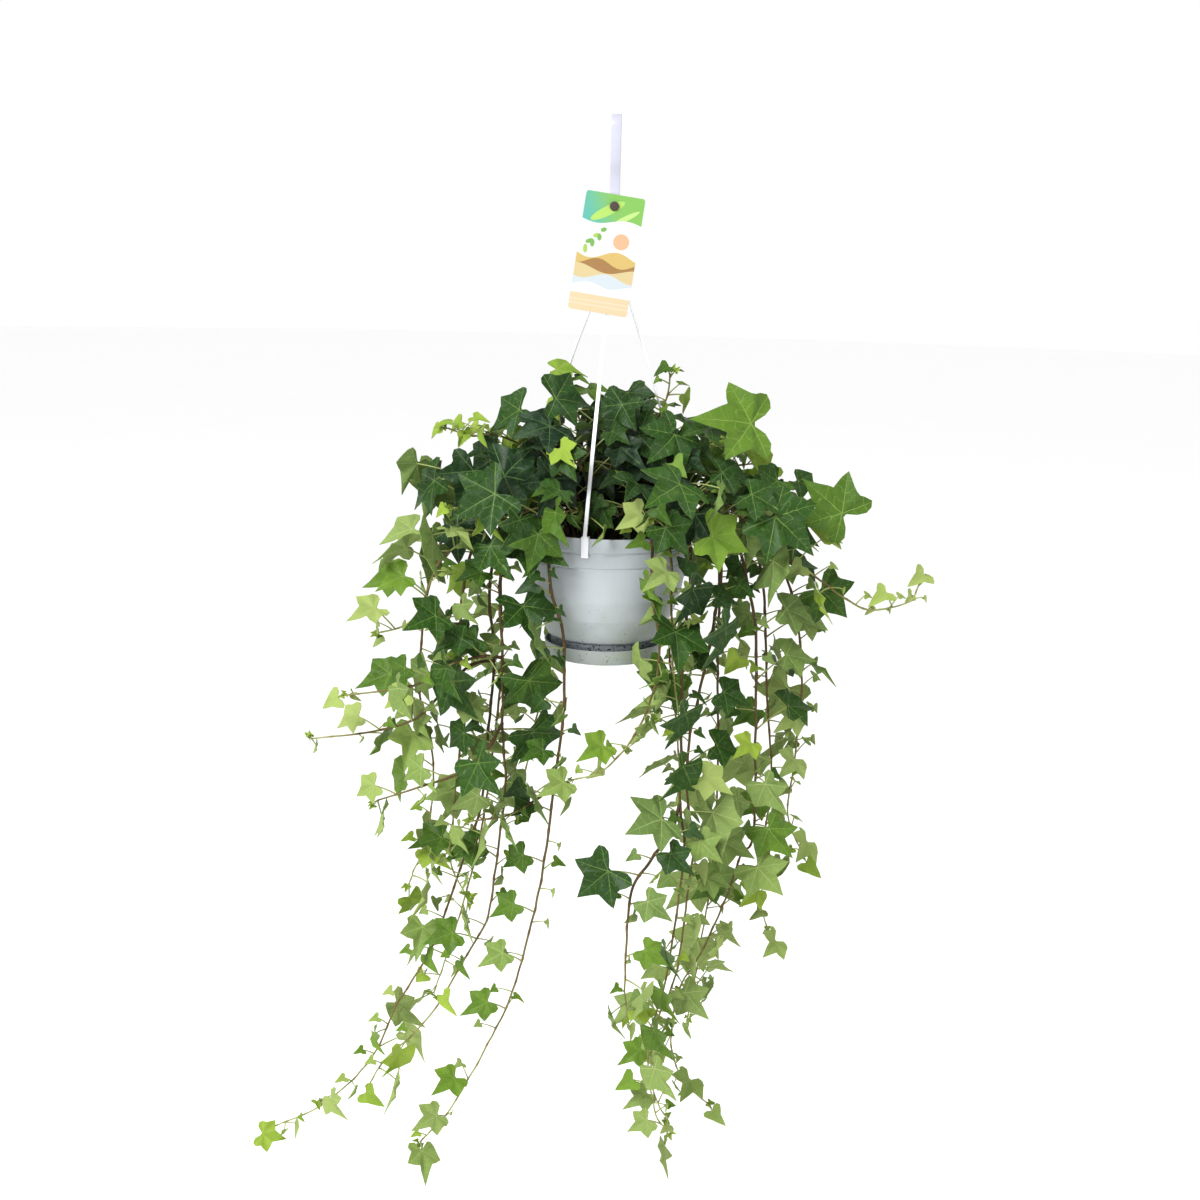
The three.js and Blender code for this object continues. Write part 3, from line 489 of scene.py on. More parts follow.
def card_material(look):
    """Printed card: a green head, a round sun over rolling fields and a striped foot."""
    g = new_material("card_print")
    u, v, _ = g.split(g.on_map())
    x, y = (u - 0.5) * CARD_W, v * CARD_H

    def spot(middle, turn, long, wide):
        """Mask of an ellipse, in millimetres from the middle of the card's foot."""
        c, s = math.cos(math.radians(turn)), math.sin(math.radians(turn))
        dx, dy = x - middle[0], y - middle[1]
        off = ((dx * c + dy * s) / long) ** 2.0 + ((dy * c - dx * s) / wide) ** 2.0
        return 1.0 - g.smooth(off, 0.94, 1.0)

    def below(height, swell, pace, start):
        """Mask of what lies under a rolling line."""
        line = g.math("SINE", x * pace + start) * swell + height
        return 1.0 - g.smooth(y - line, -0.2, 0.2)

    layers = [(spot((13.0, 76.0), 0.0, 8.5, 8.5), (0.492, 0.295, 0.180))]
    layers += [(below(*line), tint) for line, tint in (
        ((60.0, 4.5, 0.11, 0.4), (0.410, 0.303, 0.107)),
        ((52.0, 4.0, 0.13, 2.6), (0.246, 0.139, 0.049)),
        ((45.0, 3.5, 0.10, 4.4), (0.426, 0.353, 0.197)),
        ((37.0, 3.5, 0.12, 1.2), (0.385, 0.426, 0.451)),
        ((28.0, 2.5, 0.14, 3.5), (0.476, 0.500, 0.517)))]
    for k in range(6):
        middle = (-23.0 + 3.2 * k, 66.0 + 3.4 * k + (3.0 if k % 2 else -2.0))
        leaf = spot(middle, 95.0 - 70.0 * (k % 2), 4.8 - 0.3 * k, 2.3)
        layers.append((leaf, (0.131, 0.279, 0.066) if k % 3 else (0.246, 0.361, 0.082)))
    head = g.blend(g.smooth(x + y * 0.5, 20.0, 62.0), (0.082, 0.303, 0.246), look.card_green)
    head = g.blend(spot((-6.0, 106.0), 35.0, 20.0, 5.0), head, (0.279, 0.426, 0.098))
    head = g.blend(spot((14.0, 101.0), 35.0, 16.0, 2.6), head, (0.328, 0.459, 0.164))
    foot = 1.0 - g.smooth(y, 17.6, 18.0)
    off = abs(y - 9.0)
    stripe = g.smooth(off, 1.6, 1.8) - g.smooth(off, 2.6, 2.8)
    layers += [(1.0 - below(95.0, 3.0, 0.10, 0.0), head), (foot, look.card_foot),
               (stripe * foot, (0.508, 0.426, 0.328))]
    print_color = g.ramp(
        y / CARD_H, [(0.25, (0.459, 0.451, 0.426)), (0.75, (0.492, 0.508, 0.517))])
    for mask, tint in layers:
        print_color = g.blend(mask, print_color, tint)
    printed = g.smooth(u, -0.6, -0.4)
    return g.finish(g.coat(
        g.blend(printed, (0.70, 0.70, 0.68), print_color), 0.32 + (1.0 - printed) * 0.35,
        Normal=g.bump(g.noise(g.place(), 800.0), 0.00008, 0.5)))


def soil_material(name, color, rough):
    """Potting soil, its crumbs dark and light by turns."""
    g = new_material(name)
    place = g.place()
    crumbs, dry = g.noise(place, 260.0, 5.0), g.noise(place, 40.0, 2.0)
    tint = g.blend(g.smooth(crumbs, 0.45, 0.70), color, darker(color, 3.2))
    tint = g.blend(g.smooth(dry, 0.5, 0.8) * 0.5, tint, (0.09, 0.065, 0.045))
    return g.finish(g.coat(
        tint, rough + (crumbs - 0.5) * 0.2, Normal=g.bump(crumbs, 0.0015, 0.9)))


def floor_material():
    """Plain pale floor with the faintest unevenness."""
    g = new_material("floor_paint")
    cloud = g.noise(g.place(), 3.0, 2.0)
    return g.finish(g.coat(g.blend(cloud, (0.965,) * 3, (0.98,) * 3), 0.85))


def put_in_scene(name, mesh, *materials):
    piece = bpy.data.objects.new(name, mesh)
    for material in materials:
        mesh.materials.append(material)
    bpy.context.scene.collection.objects.link(piece)
    return piece


def solid_mesh(name, points, faces, sharp=35.0):
    """A mesh in metres from points in millimetres, smooth but for edges past an angle."""
    mesh = bpy.data.meshes.new(name)
    mesh.from_pydata([Vector(p) * MM for p in points], [], faces)
    mesh.validate()
    mesh.shade_smooth()
    mesh.set_sharp_from_angle(angle=math.radians(sharp))
    return mesh


def quad_line(start, corner, end, steps):
    """Points of a bend from one place to another that leans to a corner."""
    return [start * (1 - t) ** 2 + corner * 2 * t * (1 - t) + end * t * t
            for t in (k / steps for k in range(steps + 1))]


def ring_of(count, radius, start=0.0, turn=360.0):
    """Places of X and Y on a circle, as many as wanted."""
    turns = (math.radians(start + turn * k / count) for k in range(count))
    return [(radius * math.cos(a), radius * math.sin(a)) for a in turns]


def rounded(points, radius, steps=4):
    """A line with its inner corners rounded off, in as many steps."""
    line = [Vector(p) for p in points]
    out = [line[0]]
    for before, corner, after in zip(line, line[1:], line[2:]):
        back, ahead = before - corner, after - corner
        reach = min(radius, back.length * 0.45, ahead.length * 0.45)
        start, end = corner + back.normalized() * reach, corner + ahead.normalized() * reach
        out += quad_line(start, corner, end, steps)
    return out + [line[-1]]


def lathe(profile, turns):
    """A closed body turned about the Z axis. The profile starts and ends on the axis."""
    points, faces, rings = [], [], []
    for r, z in profile:
        count = 1 if r < 1e-6 else turns
        rings.append(range(len(points), len(points) + count))
        for k in range(count):
            turn = 2 * math.pi * k / turns
            points.append((r * math.cos(turn), r * math.sin(turn), z))
    for low, high in zip(rings, rings[1:]):
        for k in range(turns):
            n = (k + 1) % turns
            if len(low) == 1:
                faces.append((low[0], high[n], high[k]))
            elif len(high) == 1:
                faces.append((low[k], low[n], high[0]))
            else:
                faces.append((low[k], low[n], high[n], high[k]))
    return points, faces


def new_tree(name, **inputs):
    """An empty geometry tree with a geometry in and out and named inputs."""
    tree = bpy.data.node_groups.new(name, "GeometryNodeTree")
    rows = [("Geometry", "INPUT", "Geometry")]
    rows += [(label.replace("_", " "), "INPUT", kind) for label, kind in inputs.items()]
    for label, way, kind in rows + [("Geometry", "OUTPUT", "Geometry")]:
        tree.interface.new_socket(label, in_out=way, socket_type="NodeSocket" + kind)
    g = Graph(tree, tree)
    return g, g.add("NodeGroupInput")


def grown_by(tree, name, mesh, values):
    """The plain mesh that a tree makes of a mesh, in an object at the origin."""
    piece = put_in_scene(name, mesh)
    modifier = piece.modifiers.new(tree.name, "NODES")
    modifier.node_group = tree
    for socket in tree.interface.items_tree:
        if socket.in_out == "INPUT" and socket.name in values:
            modifier[socket.identifier] = values[socket.name]
    depsgraph = bpy.context.evaluated_depsgraph_get()
    baked = bpy.data.meshes.new_from_object(
        piece.evaluated_get(depsgraph), preserve_all_data_layers=True, depsgraph=depsgraph)
    piece.modifiers.clear()
    piece.data = baked
    bpy.data.meshes.remove(mesh)
    baked.name = name
    return piece


def leafy_tree():
    """Turns a stem's lines into round stems and its marked places into leaves."""
    g, given = new_tree(
        "Leafy stem", Leaf_Forms="Collection", Blade_Thickness="Float", Stem_Sides="Int",
        Ruffle="Float", Leaf_Finish="Material", Stem_Finish="Material")
    parts = g.add(
        "GeometryNodeSeparateGeometry", {"domain": "POINT"}, given,
        g.carried("blade", "BOOLEAN"))
    forms = g.add(
        "GeometryNodeCollectionInfo", Collection=given.out("Leaf Forms"),
        Separate_Children=True, Reset_Children=True)
    facing, size = g.carried("facing", "FLOAT_VECTOR"), g.carried("size")
    turn = g.add(
        "FunctionNodeAxesToRotation", {"primary_axis": "Z", "secondary_axis": "Y"},
        Primary_Axis=facing, Secondary_Axis=g.carried("tipward", "FLOAT_VECTOR"))
    blades = g.add(
        "GeometryNodeInstanceOnPoints", Points=parts, Instance=forms, Pick_Instance=True,
        Instance_Index=g.carried("form", "INT"), Rotation=turn, Scale=size)
    blades = g.add("GeometryNodeRealizeInstances", Geometry=blades)
    x, y, _ = g.split(g.carried("plan", "FLOAT_VECTOR"))
    hub_turn, phase = g.math("ARCTAN2", x, y), g.carried("phase")
    lobes = g.math("SINE", hub_turn * 3.0 + phase) * g.carried("wave")
    edge = g.math("SINE", hub_turn * 13.0 + phase * 2.0) * given.out("Ruffle")
    bend = (lobes + edge - g.carried("curl")) * (x * x + y * y) + abs(x) * g.carried("fold")
    lift = bend * size + g.carried("skin") * given.out("Blade Thickness") * 0.5
    blades = g.add("GeometryNodeSetPosition", Geometry=blades, Offset=g.scaled(facing, lift))
    ring = g.add(
        "GeometryNodeCurvePrimitiveCircle", Resolution=given.out("Stem Sides"), Radius=1.0)
    stems = g.add(
        "GeometryNodeCurveToMesh",
        Curve=g.add("GeometryNodeMeshToCurve", Mesh=parts.out("Inverted")),
        Profile_Curve=ring, Scale=g.carried("thick"), Fill_Caps=True)
    stems = g.add("GeometryNodeSetShadeSmooth", Geometry=stems)
    stems = g.dressed(stems, given.out("Stem Finish"))
    both = g.add("GeometryNodeJoinGeometry", None, g.dressed(blades, given.out("Leaf Finish")))
    g.tree.links.new(stems.socket, both.socket.node.inputs[0])
    return g.finish(both)


def strap_tree():
    """A moulded strap of even section that follows a line, its width turned one way."""
    g, given = new_tree(
        "Moulded strap", Width="Float", Thickness="Float", Edge_Radius="Float",
        Across="Vector", Finish="Material")
    line = g.add(
        "GeometryNodeSetCurveNormal", {"mode": "FREE"},
        Curve=g.add("GeometryNodeMeshToCurve", Mesh=given), Normal=given.out("Across"))
    section = g.add(
        "GeometryNodeCurvePrimitiveQuadrilateral", {"mode": "RECTANGLE"},
        Width=given.out("Width"), Height=given.out("Thickness"))
    section = g.add(
        "GeometryNodeFilletCurve", {"mode": "POLY"}, Curve=section, Count=3,
        Radius=given.out("Edge Radius"), Limit_Radius=True)
    strap = g.add(
        "GeometryNodeCurveToMesh", Curve=line, Profile_Curve=section, Fill_Caps=True)
    strap = g.dressed(strap, given.out("Finish"))
    return g.finish(g.add("GeometryNodeRealizeInstances", Geometry=strap))


def grain_tree():
    """Crumbs of soil scattered over the top of a body."""
    g, given = new_tree(
        "Soil crumbs", Density="Float", Smallest="Float", Largest="Float", Lowest="Float",
        Seed="Int", Finish="Material")
    height = g.split(g.add("GeometryNodeInputPosition"))[2]
    upward = g.split(g.add("GeometryNodeInputNormal"))[2]
    on_top = g.math(
        "MULTIPLY", g.math("GREATER_THAN", upward, 0.6),
        g.math("GREATER_THAN", height, given.out("Lowest")))
    points = g.add(
        "GeometryNodeDistributePointsOnFaces", Mesh=given, Selection=on_top,
        Density=given.out("Density"), Seed=given.out("Seed"))
    grain = g.add("GeometryNodeMeshIcoSphere", Radius=1.0, Subdivisions=1)
    turn = g.add(
        "FunctionNodeRandomValue", {"data_type": "FLOAT_VECTOR"}, Min=(0.0, 0.0, 0.0),
        Max=(6.28, 6.28, 6.28), Seed=3)
    swell = g.add(
        "FunctionNodeRandomValue", {"data_type": "FLOAT"}, Min=given.out("Smallest"),
        Max=given.out("Largest"), Seed=5)
    crumbs = g.add(
        "GeometryNodeInstanceOnPoints", Points=points, Instance=grain, Rotation=turn,
        Scale=g.scaled((1.0, 0.8, 0.55), swell))
    crumbs = g.add("GeometryNodeRealizeInstances", Geometry=crumbs)
    return g.finish(g.dressed(crumbs, given.out("Finish")))


class Vine:
    """The route of one leafy stem and what rules its leaves, in millimetres and degrees."""

    trails = False

    def __init__(self, name, tone, root, leaf, space, face, lift, bare, route, side=(),
                 end=None, end_tone=None, thin=0.35):
        self.name = name
        self.tone = tone            # at the root and the tip: 0 is old and 1 just opened
        self.root = root            # where it leaves the soil
        self.leaf = leaf            # leaf length near the root and at the tip
        self.space = space          # between two leaves
        self.face = face            # way that the leaves face, round the pot
        self.lift = lift            # how far they look up
        self.bare = bare            # leafless foot of the stem
        self.route = route
        self.side = side            # routes of side stems
        self.end = end              # last leaf: length, face, lift and swing
        self.end_tone = end_tone
        self.thin = thin            # share of its fine leaves missing at the tip


class Trail(Vine):
    """A stem that hangs down the pot, its leaves wilder and younger towards the tip."""

    trails = True


# Each row starts with the name, tone, root, leaf, space, face, lift and bare foot of a stem
CROWN = [
    Vine("crown_front_left", (0.05, 0.15), (-18, -34), (63, 55), 26, -105, 35, 36, [
        (-26, -44, -400), (-40, -58, -372),
        (-58, -66, -356), (-76, -70, -358)], end=(76, -115, 30, -50), end_tone=0.04),
    Vine("crown_left", (0.05, 0.2), (-40, -6), (59, 52), 26, -115, 35, 36, [
        (-66, -14, -388), (-96, -28, -364),
        (-126, -44, -370), (-150, -56, -400)], end=(66, -110, 20, -60), end_tone=0.05),
    Vine("twig_left_high", (0.55, 0.95), (-30, 8), (42, 24), 24, -110, 35, 50, [
        (-56, 4, -382), (-86, -8, -346), (-118, -20, -330), (-146, -30, -330), (-168, -36, -322)]),
    Vine("twig_left_low", (0.5, 0.9), (-34, -20), (40, 24), 24, -100, 25, 60, [
        (-46, -36, -405), (-76, -66, -410), (-112, -92, -408), (-156, -100, -396)]),
    Vine("crown_top_left", (0.2, 0.5), (-14, 12), (53, 40), 26, -100, 45, 50, [
        (-16, 14, -400), (-20, 14, -350),
        (-34, 10, -308), (-54, 4, -276)], end=(42, -80, 60, -90), end_tone=0.74),
    Vine("crown_top_right", (0.3, 0.6), (16, 8), (48, 26), 26, -80, 40, 60, [
        (22, 10, -400), (36, 12, -350), (52, 12, -312), (62, 6, -286),
        (63, 0, -264)], end_tone=0.4),
    Vine("crown_middle", (0.04, 0.15), (0, -12), (57, 50), 24, -90, 35, 36, [
        (2, -18, -400), (4, -28, -356), (12, -38, -322)], end=(60, -88, 30, 30)),
    Vine("crown_front_right", (0.05, 0.2), (18, -34), (55, 52), 24, -85, 30, 36, [
        (26, -44, -398), (42, -56, -366), (62, -64, -360),
        (80, -74, -376)], end=(64, -80, 20, 35), end_tone=0.06),
    Vine("crown_right_high", (0.15, 0.4), (28, -10), (52, 46), 26, -80, 35, 40, [
        (46, -14, -385), (78, -28, -345),
        (106, -42, -330), (126, -52, -322)], end=(80, -88, 20, 125), end_tone=0.52),
    Vine("crown_right", (0.3, 0.7), (34, 6), (50, 37), 24, -70, 35, 44, [
        (62, 4, -384), (96, -8, -358), (130, -22, -356),
        (156, -30, -352)], end=(46, -80, 20, 60), end_tone=0.85),
    Vine("crown_right_outer", (0.1, 0.35), (44, 16), (50, 42), 28, -75, 30, 60, [
        (78, 12, -378), (124, -2, -372),
        (168, -20, -384), (204, -36, -398),
        (226, -44, -402)], end=(72, -90, 10, 130), end_tone=0.45),
    Vine("crown_right_front", (0.1, 0.3), (34, -44), (57, 57), 28, -85, 30, 50, [
        (54, -58, -396), (86, -80, -398),
        (118, -92, -398), (148, -96, -396)], end=(80, -90, 25, -50), end_tone=0.28),
    Vine("crown_back_left", (0.1, 0.3), (-24, 34), (57, 50), 26, 125, 35, 40, [
        (-38, 44, -392), (-62, 60, -358), (-90, 72, -352),
        (-116, 80, -366)], end=(66, 130, 25, 40)),
    Vine("crown_back_middle", (0.05, 0.25), (0, 30), (57, 50), 24, 90, 40, 36, [
        (2, 36, -398), (6, 50, -352), (10, 68, -326), (12, 88, -338)], end=(62, 90, 25, -20)),
    Vine("crown_back_right", (0.1, 0.3), (24, 36), (57, 50), 26, 60, 35, 40, [
        (40, 46, -392), (66, 60, -356), (94, 72, -350), (122, 78, -366)], end=(66, 50, 25, -40)),
    Vine("crown_low_middle", (0.2, 0.45), (-8, -52), (46, 46), 29, -95, 25, 56, [
        (-16, -64, -410), (-36, -84, -398),
        (-52, -96, -404)], end=(60, -100, 15, 30), end_tone=0.4),
    Vine("crown_low_left", (0.1, 0.35), (-24, -56), (52, 50), 26, -105, 25, 50, [
        (-38, -70, -408), (-64, -86, -396),
        (-90, -96, -402), (-108, -98, -418)], end=(58, -108, 20, -35), end_tone=0.3),
    Vine("crown_low_right", (0.1, 0.4), (10, -50), (48, 46), 28, -85, 25, 56, [
        (14, -64, -406), (28, -86, -390), (46, -100, -400)], end=(56, -85, 15, -40), end_tone=0.3),
    Vine("crown_middle_left", (0.04, 0.15), (-12, -22), (59, 52), 24, -105, 35, 44, [
        (-18, -28, -392), (-32, -42, -348), (-48, -52, -324)], end=(64, -105, 30, -30)),
    Vine("crown_middle_right", (0.04, 0.2), (12, -20), (57, 50), 24, -80, 35, 44, [
        (20, -26, -392), (36, -40, -348), (54, -50, -332)], end=(62, -75, 30, 35)),
    Vine("crown_top", (0.05, 0.25), (0, 12), (55, 46), 24, -90, 45, 60, [
        (2, 14, -395), (6, 16, -345), (12, 14, -304)], end=(54, -90, 50, -20)),
]

TRAILS = [
    Trail("trail_left_inner", (0.15, 0.6), (-34, -46), (52, 37), 36, -95, 15, 60, [
        (-44, -66, -408), (-58, -88, -425), (-56, -95, -480), (-43, -90, -527), (-41, -82, -615),
        (-49, -72, -694), (-58, -64, -784), (-75, -58, -877), (-96, -55, -958), (-122, -52, -1018),
        (-161, -50, -1093), (-193, -50, -1133)], side=[
        [(-49, -72, -694), (-66, -76, -712), (-97, -80, -731), (-136, -82, -738)]], thin=0.8),
    Trail("trail_left_middle", (0.2, 0.75), (-52, -22), (58, 37), 34, -105, 15, 40, [
        (-70, -40, -400), (-98, -58, -415), (-110, -66, -475), (-107, -70, -560),
        (-106, -64, -633), (-103, -52, -704), (-108, -46, -762), (-121, -40, -862),
        (-144, -36, -911), (-187, -33, -989), (-236, -30, -1043), (-253, -30, -1071)], side=[
        [(-107, -70, -560), (-128, -84, -556), (-171, -92, -567), (-197, -95, -586),
         (-265, -95, -598)],
        [(-106, -64, -633), (-124, -78, -662), (-150, -84, -684), (-190, -84, -700),
         (-238, -84, -717)]], thin=0.7),
    Trail("trail_left_outer", (0.25, 0.8), (-60, 4), (56, 35), 34, -115, 15, 40, [
        (-84, 0, -395), (-112, -12, -425), (-124, -24, -497), (-118, -30, -573), (-127, -26, -696),
        (-133, -20, -751), (-155, -15, -821), (-185, -10, -912), (-225, -5, -986),
        (-257, 0, -1058), (-313, 2, -1118), (-372, 4, -1149)], side=[
        [(-118, -30, -573), (-144, -38, -578), (-173, -40, -608), (-203, -42, -638),
         (-253, -42, -654), (-315, -40, -663)]], thin=0.65),
    Trail("shoot_left_high", (0.2, 0.6), (-46, -34), (56, 41), 32, -100, 25, 60, [
        (-72, -52, -385), (-110, -72, -400), (-143, -78, -430), (-172, -84, -455),
        (-192, -88, -503), (-208, -90, -523), (-236, -88, -532)]),
    Trail("trail_left_side", (0.3, 0.8), (-64, 24), (54, 41), 34, -120, 15, 50, [
        (-96, 20, -385), (-140, 8, -400), (-178, 0, -450), (-195, 0, -515), (-201, -4, -615),
        (-186, -8, -693), (-190, -10, -775), (-212, -10, -838)], thin=0.5),
    Trail("trail_left_short", (0.2, 0.7), (-58, -10), (54, 41), 34, -100, 15, 60, [
        (-84, -22, -392), (-124, -42, -412), (-146, -52, -465), (-153, -56, -547),
        (-151, -56, -634), (-158, -52, -726), (-162, -48, -797), (-142, -46, -840)]),
    Trail("trail_right_front", (0.15, 0.65), (50, -40), (56, 39), 35, -85, 15, 60, [
        (70, -58, -405), (86, -74, -425), (88, -84, -480), (84, -86, -534), (83, -84, -576),
        (85, -79, -652), (86, -76, -715), (92, -73, -760), (90, -70, -813), (77, -63, -928),
        (63, -58, -986), (62, -55, -1036), (72, -55, -1090), (86, -55, -1109)], side=[
        [(86, -76, -715), (76, -84, -746), (56, -90, -776), (37, -92, -808), (33, -92, -866),
         (32, -90, -926), (36, -90, -956)]]),
    Trail("trail_right_inner", (0.2, 0.65), (58, -22), (56, 39), 35, -80, 15, 50, [
        (84, -38, -400), (112, -50, -420), (122, -56, -460), (117, -58, -516), (104, -55, -594),
        (95, -49, -657), (96, -42, -722), (104, -38, -768), (102, -34, -817), (90, -30, -932),
        (72, -28, -989), (66, -26, -1054), (76, -26, -1093), (85, -26, -1108)]),
    Trail("trail_right_outer", (0.2, 0.7), (62, -4), (58, 41), 34, -75, 15, 50, [
        (94, -14, -395), (132, -30, -420), (152, -40, -480), (163, -40, -536), (167, -34, -631),
        (171, -22, -765), (159, -15, -794), (145, -10, -848), (118, -5, -918), (96, 0, -963),
        (89, 0, -1022), (101, 2, -1069), (118, 2, -1091), (132, 2, -1103)]),
    Trail("trail_right_side", (0.25, 0.7), (60, 20), (58, 40), 34, -65, 15, 50, [
        (98, 14, -390), (146, 2, -415), (172, -4, -490), (181, 0, -607), (192, 10, -713),
        (188, 15, -774), (183, 16, -846), (196, 15, -894)]),
    Trail("trail_right_back", (0.3, 0.8), (52, 38), (56, 42), 34, -60, 15, 50, [
        (90, 36, -380), (146, 26, -398), (184, 18, -450), (210, 18, -519), (222, 22, -599),
        (219, 27, -694), (214, 27, -759), (232, 26, -804)]),
    Trail("shoot_right_far", (0.5, 0.95), (40, -26), (44, 31), 30, -80, 25, 110, [
        (70, -46, -372), (118, -66, -388), (160, -68, -422), (194, -62, -449), (222, -54, -468),
        (256, -48, -492), (285, -45, -504), (324, -42, -495), (334, -40, -478)], thin=0.1),
    Trail("trail_middle", (0.45, 0.7), (26, -54), (34, 41), 34, -90, 10, 80, [
        (36, -74, -408), (46, -97, -424), (50, -102, -484), (58, -102, -540), (53, -100, -584),
        (34, -97, -636), (3, -94, -674), (-28, -92, -686)], thin=0.3),
    Trail("shoot_middle_right", (0.75, 0.3), (42, -58), (44, 48), 40, -90, 10, 50, [
        (55, -79, -408), (67, -95, -440), (69, -101, -498), (72, -102, -551), (78, -101, -594),
        (82, -102, -618)], end=(66, -90, 5, -30), end_tone=0.08),
    Trail("trail_back_left_long", (0.2, 0.6), (-50, 40), (56, 37), 36, 115, 15, 60, [
        (-72, 60, -402), (-104, 82, -425), (-118, 88, -500), (-116, 84, -600), (-124, 78, -700),
        (-140, 70, -820), (-165, 62, -920), (-190, 58, -1000)]),
    Trail("trail_back_left", (0.2, 0.6), (-28, 56), (56, 41), 36, 100, 15, 60, [
        (-42, 84, -404), (-54, 106, -430), (-58, 110, -500), (-64, 106, -600), (-78, 98, -690),
        (-92, 92, -760)]),
    Trail("trail_back_middle", (0.2, 0.6), (4, 62), (54, 44), 36, 90, 15, 50, [
        (6, 88, -402), (8, 108, -430), (10, 112, -490), (8, 106, -556)]),
    Trail("trail_back_right", (0.2, 0.6), (32, 54), (56, 41), 36, 80, 15, 60, [
        (48, 80, -404), (64, 100, -430), (70, 106, -500), (78, 102, -600), (90, 96, -700),
        (98, 90, -800)]),
    Trail("trail_back_right_long", (0.2, 0.6), (50, 48), (56, 37), 36, 65, 15, 70, [
        (78, 66, -402), (114, 82, -425), (130, 88, -500), (132, 84, -610), (136, 76, -720),
        (134, 70, -840), (122, 64, -940), (112, 58, -1020)]),
]

VINES = CROWN + TRAILS

# Half outlines of the leaves, from the tip down one side to the notch, in leaf lengths from the
# stalk's seat. The third number lifts the blade between two lobes.
LARGE_LEAF = [
    (0, 0.73, 0), (0.045, 0.62, 0), (0.105, 0.50, 0.005), (0.16, 0.40, 0.018),
    (0.19, 0.335, 0.032), (0.27, 0.335, 0.012), (0.38, 0.335, 0), (0.50, 0.31, -0.01),
    (0.455, 0.225, 0), (0.40, 0.13, 0.008), (0.355, 0.05, 0.022), (0.345, -0.01, 0.028),
    (0.385, -0.08, 0.008), (0.405, -0.19, -0.005), (0.33, -0.245, 0), (0.23, -0.245, 0.012),
    (0.12, -0.165, 0.018), (0.03, -0.05, 0),
]
MIDDLE_LEAF = [
    (0, 0.75, 0), (0.06, 0.60, 0), (0.125, 0.46, 0.01), (0.17, 0.345, 0.035),
    (0.29, 0.325, 0.012), (0.47, 0.26, -0.008), (0.405, 0.13, 0.008), (0.345, 0.03, 0.028),
    (0.375, -0.10, 0), (0.31, -0.21, 0), (0.18, -0.20, 0.015), (0.03, -0.05, 0),
]
SMALL_LEAF = [
    (0, 0.78, 0), (0.085, 0.60, 0), (0.155, 0.42, 0.015), (0.205, 0.28, 0.03), (0.30, 0.15, 0.01),
    (0.40, -0.02, 0), (0.33, -0.14, 0), (0.17, -0.14, 0.01), (0.03, -0.04, 0),
]
# The place on the standard leaf that each point of the small leaf takes its veins from
SMALL_VEINS = [
    (0, 0.72), (0.07, 0.55), (0.13, 0.45), (0.205, 0.37), (0.32, 0.37), (0.48, 0.30), (0.41, 0.0),
    (0.2, -0.2), (0.03, -0.05),
]
LEAF_KINDS = [              # outline, where its veins come from and its rings
    (LARGE_LEAF, LARGE_LEAF, (0.3, 0.65, 1.0)),
    (MIDDLE_LEAF, MIDDLE_LEAF, (0.5, 1.0)),
    (SMALL_LEAF, SMALL_VEINS, (1.0,)),
]
LEAF_VARIANTS = 4
LOBE_LIFT = 2.3
HUB_U, HUB_V = 0.5, 0.27    # the stalk's seat in the leaf's UV map
LOBE_TURNS = (57, 118)      # side veins, in degrees from the midrib
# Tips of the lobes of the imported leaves, by which a finished leaf finds its place again
PACKED_TIPS = [[(0, y), (x, low), (-x, low)] for y, x, low in (
    (0.72, 0.48, 0.30), (0.74, 0.45, 0.24), (0.78, 0.40, -0.02))]


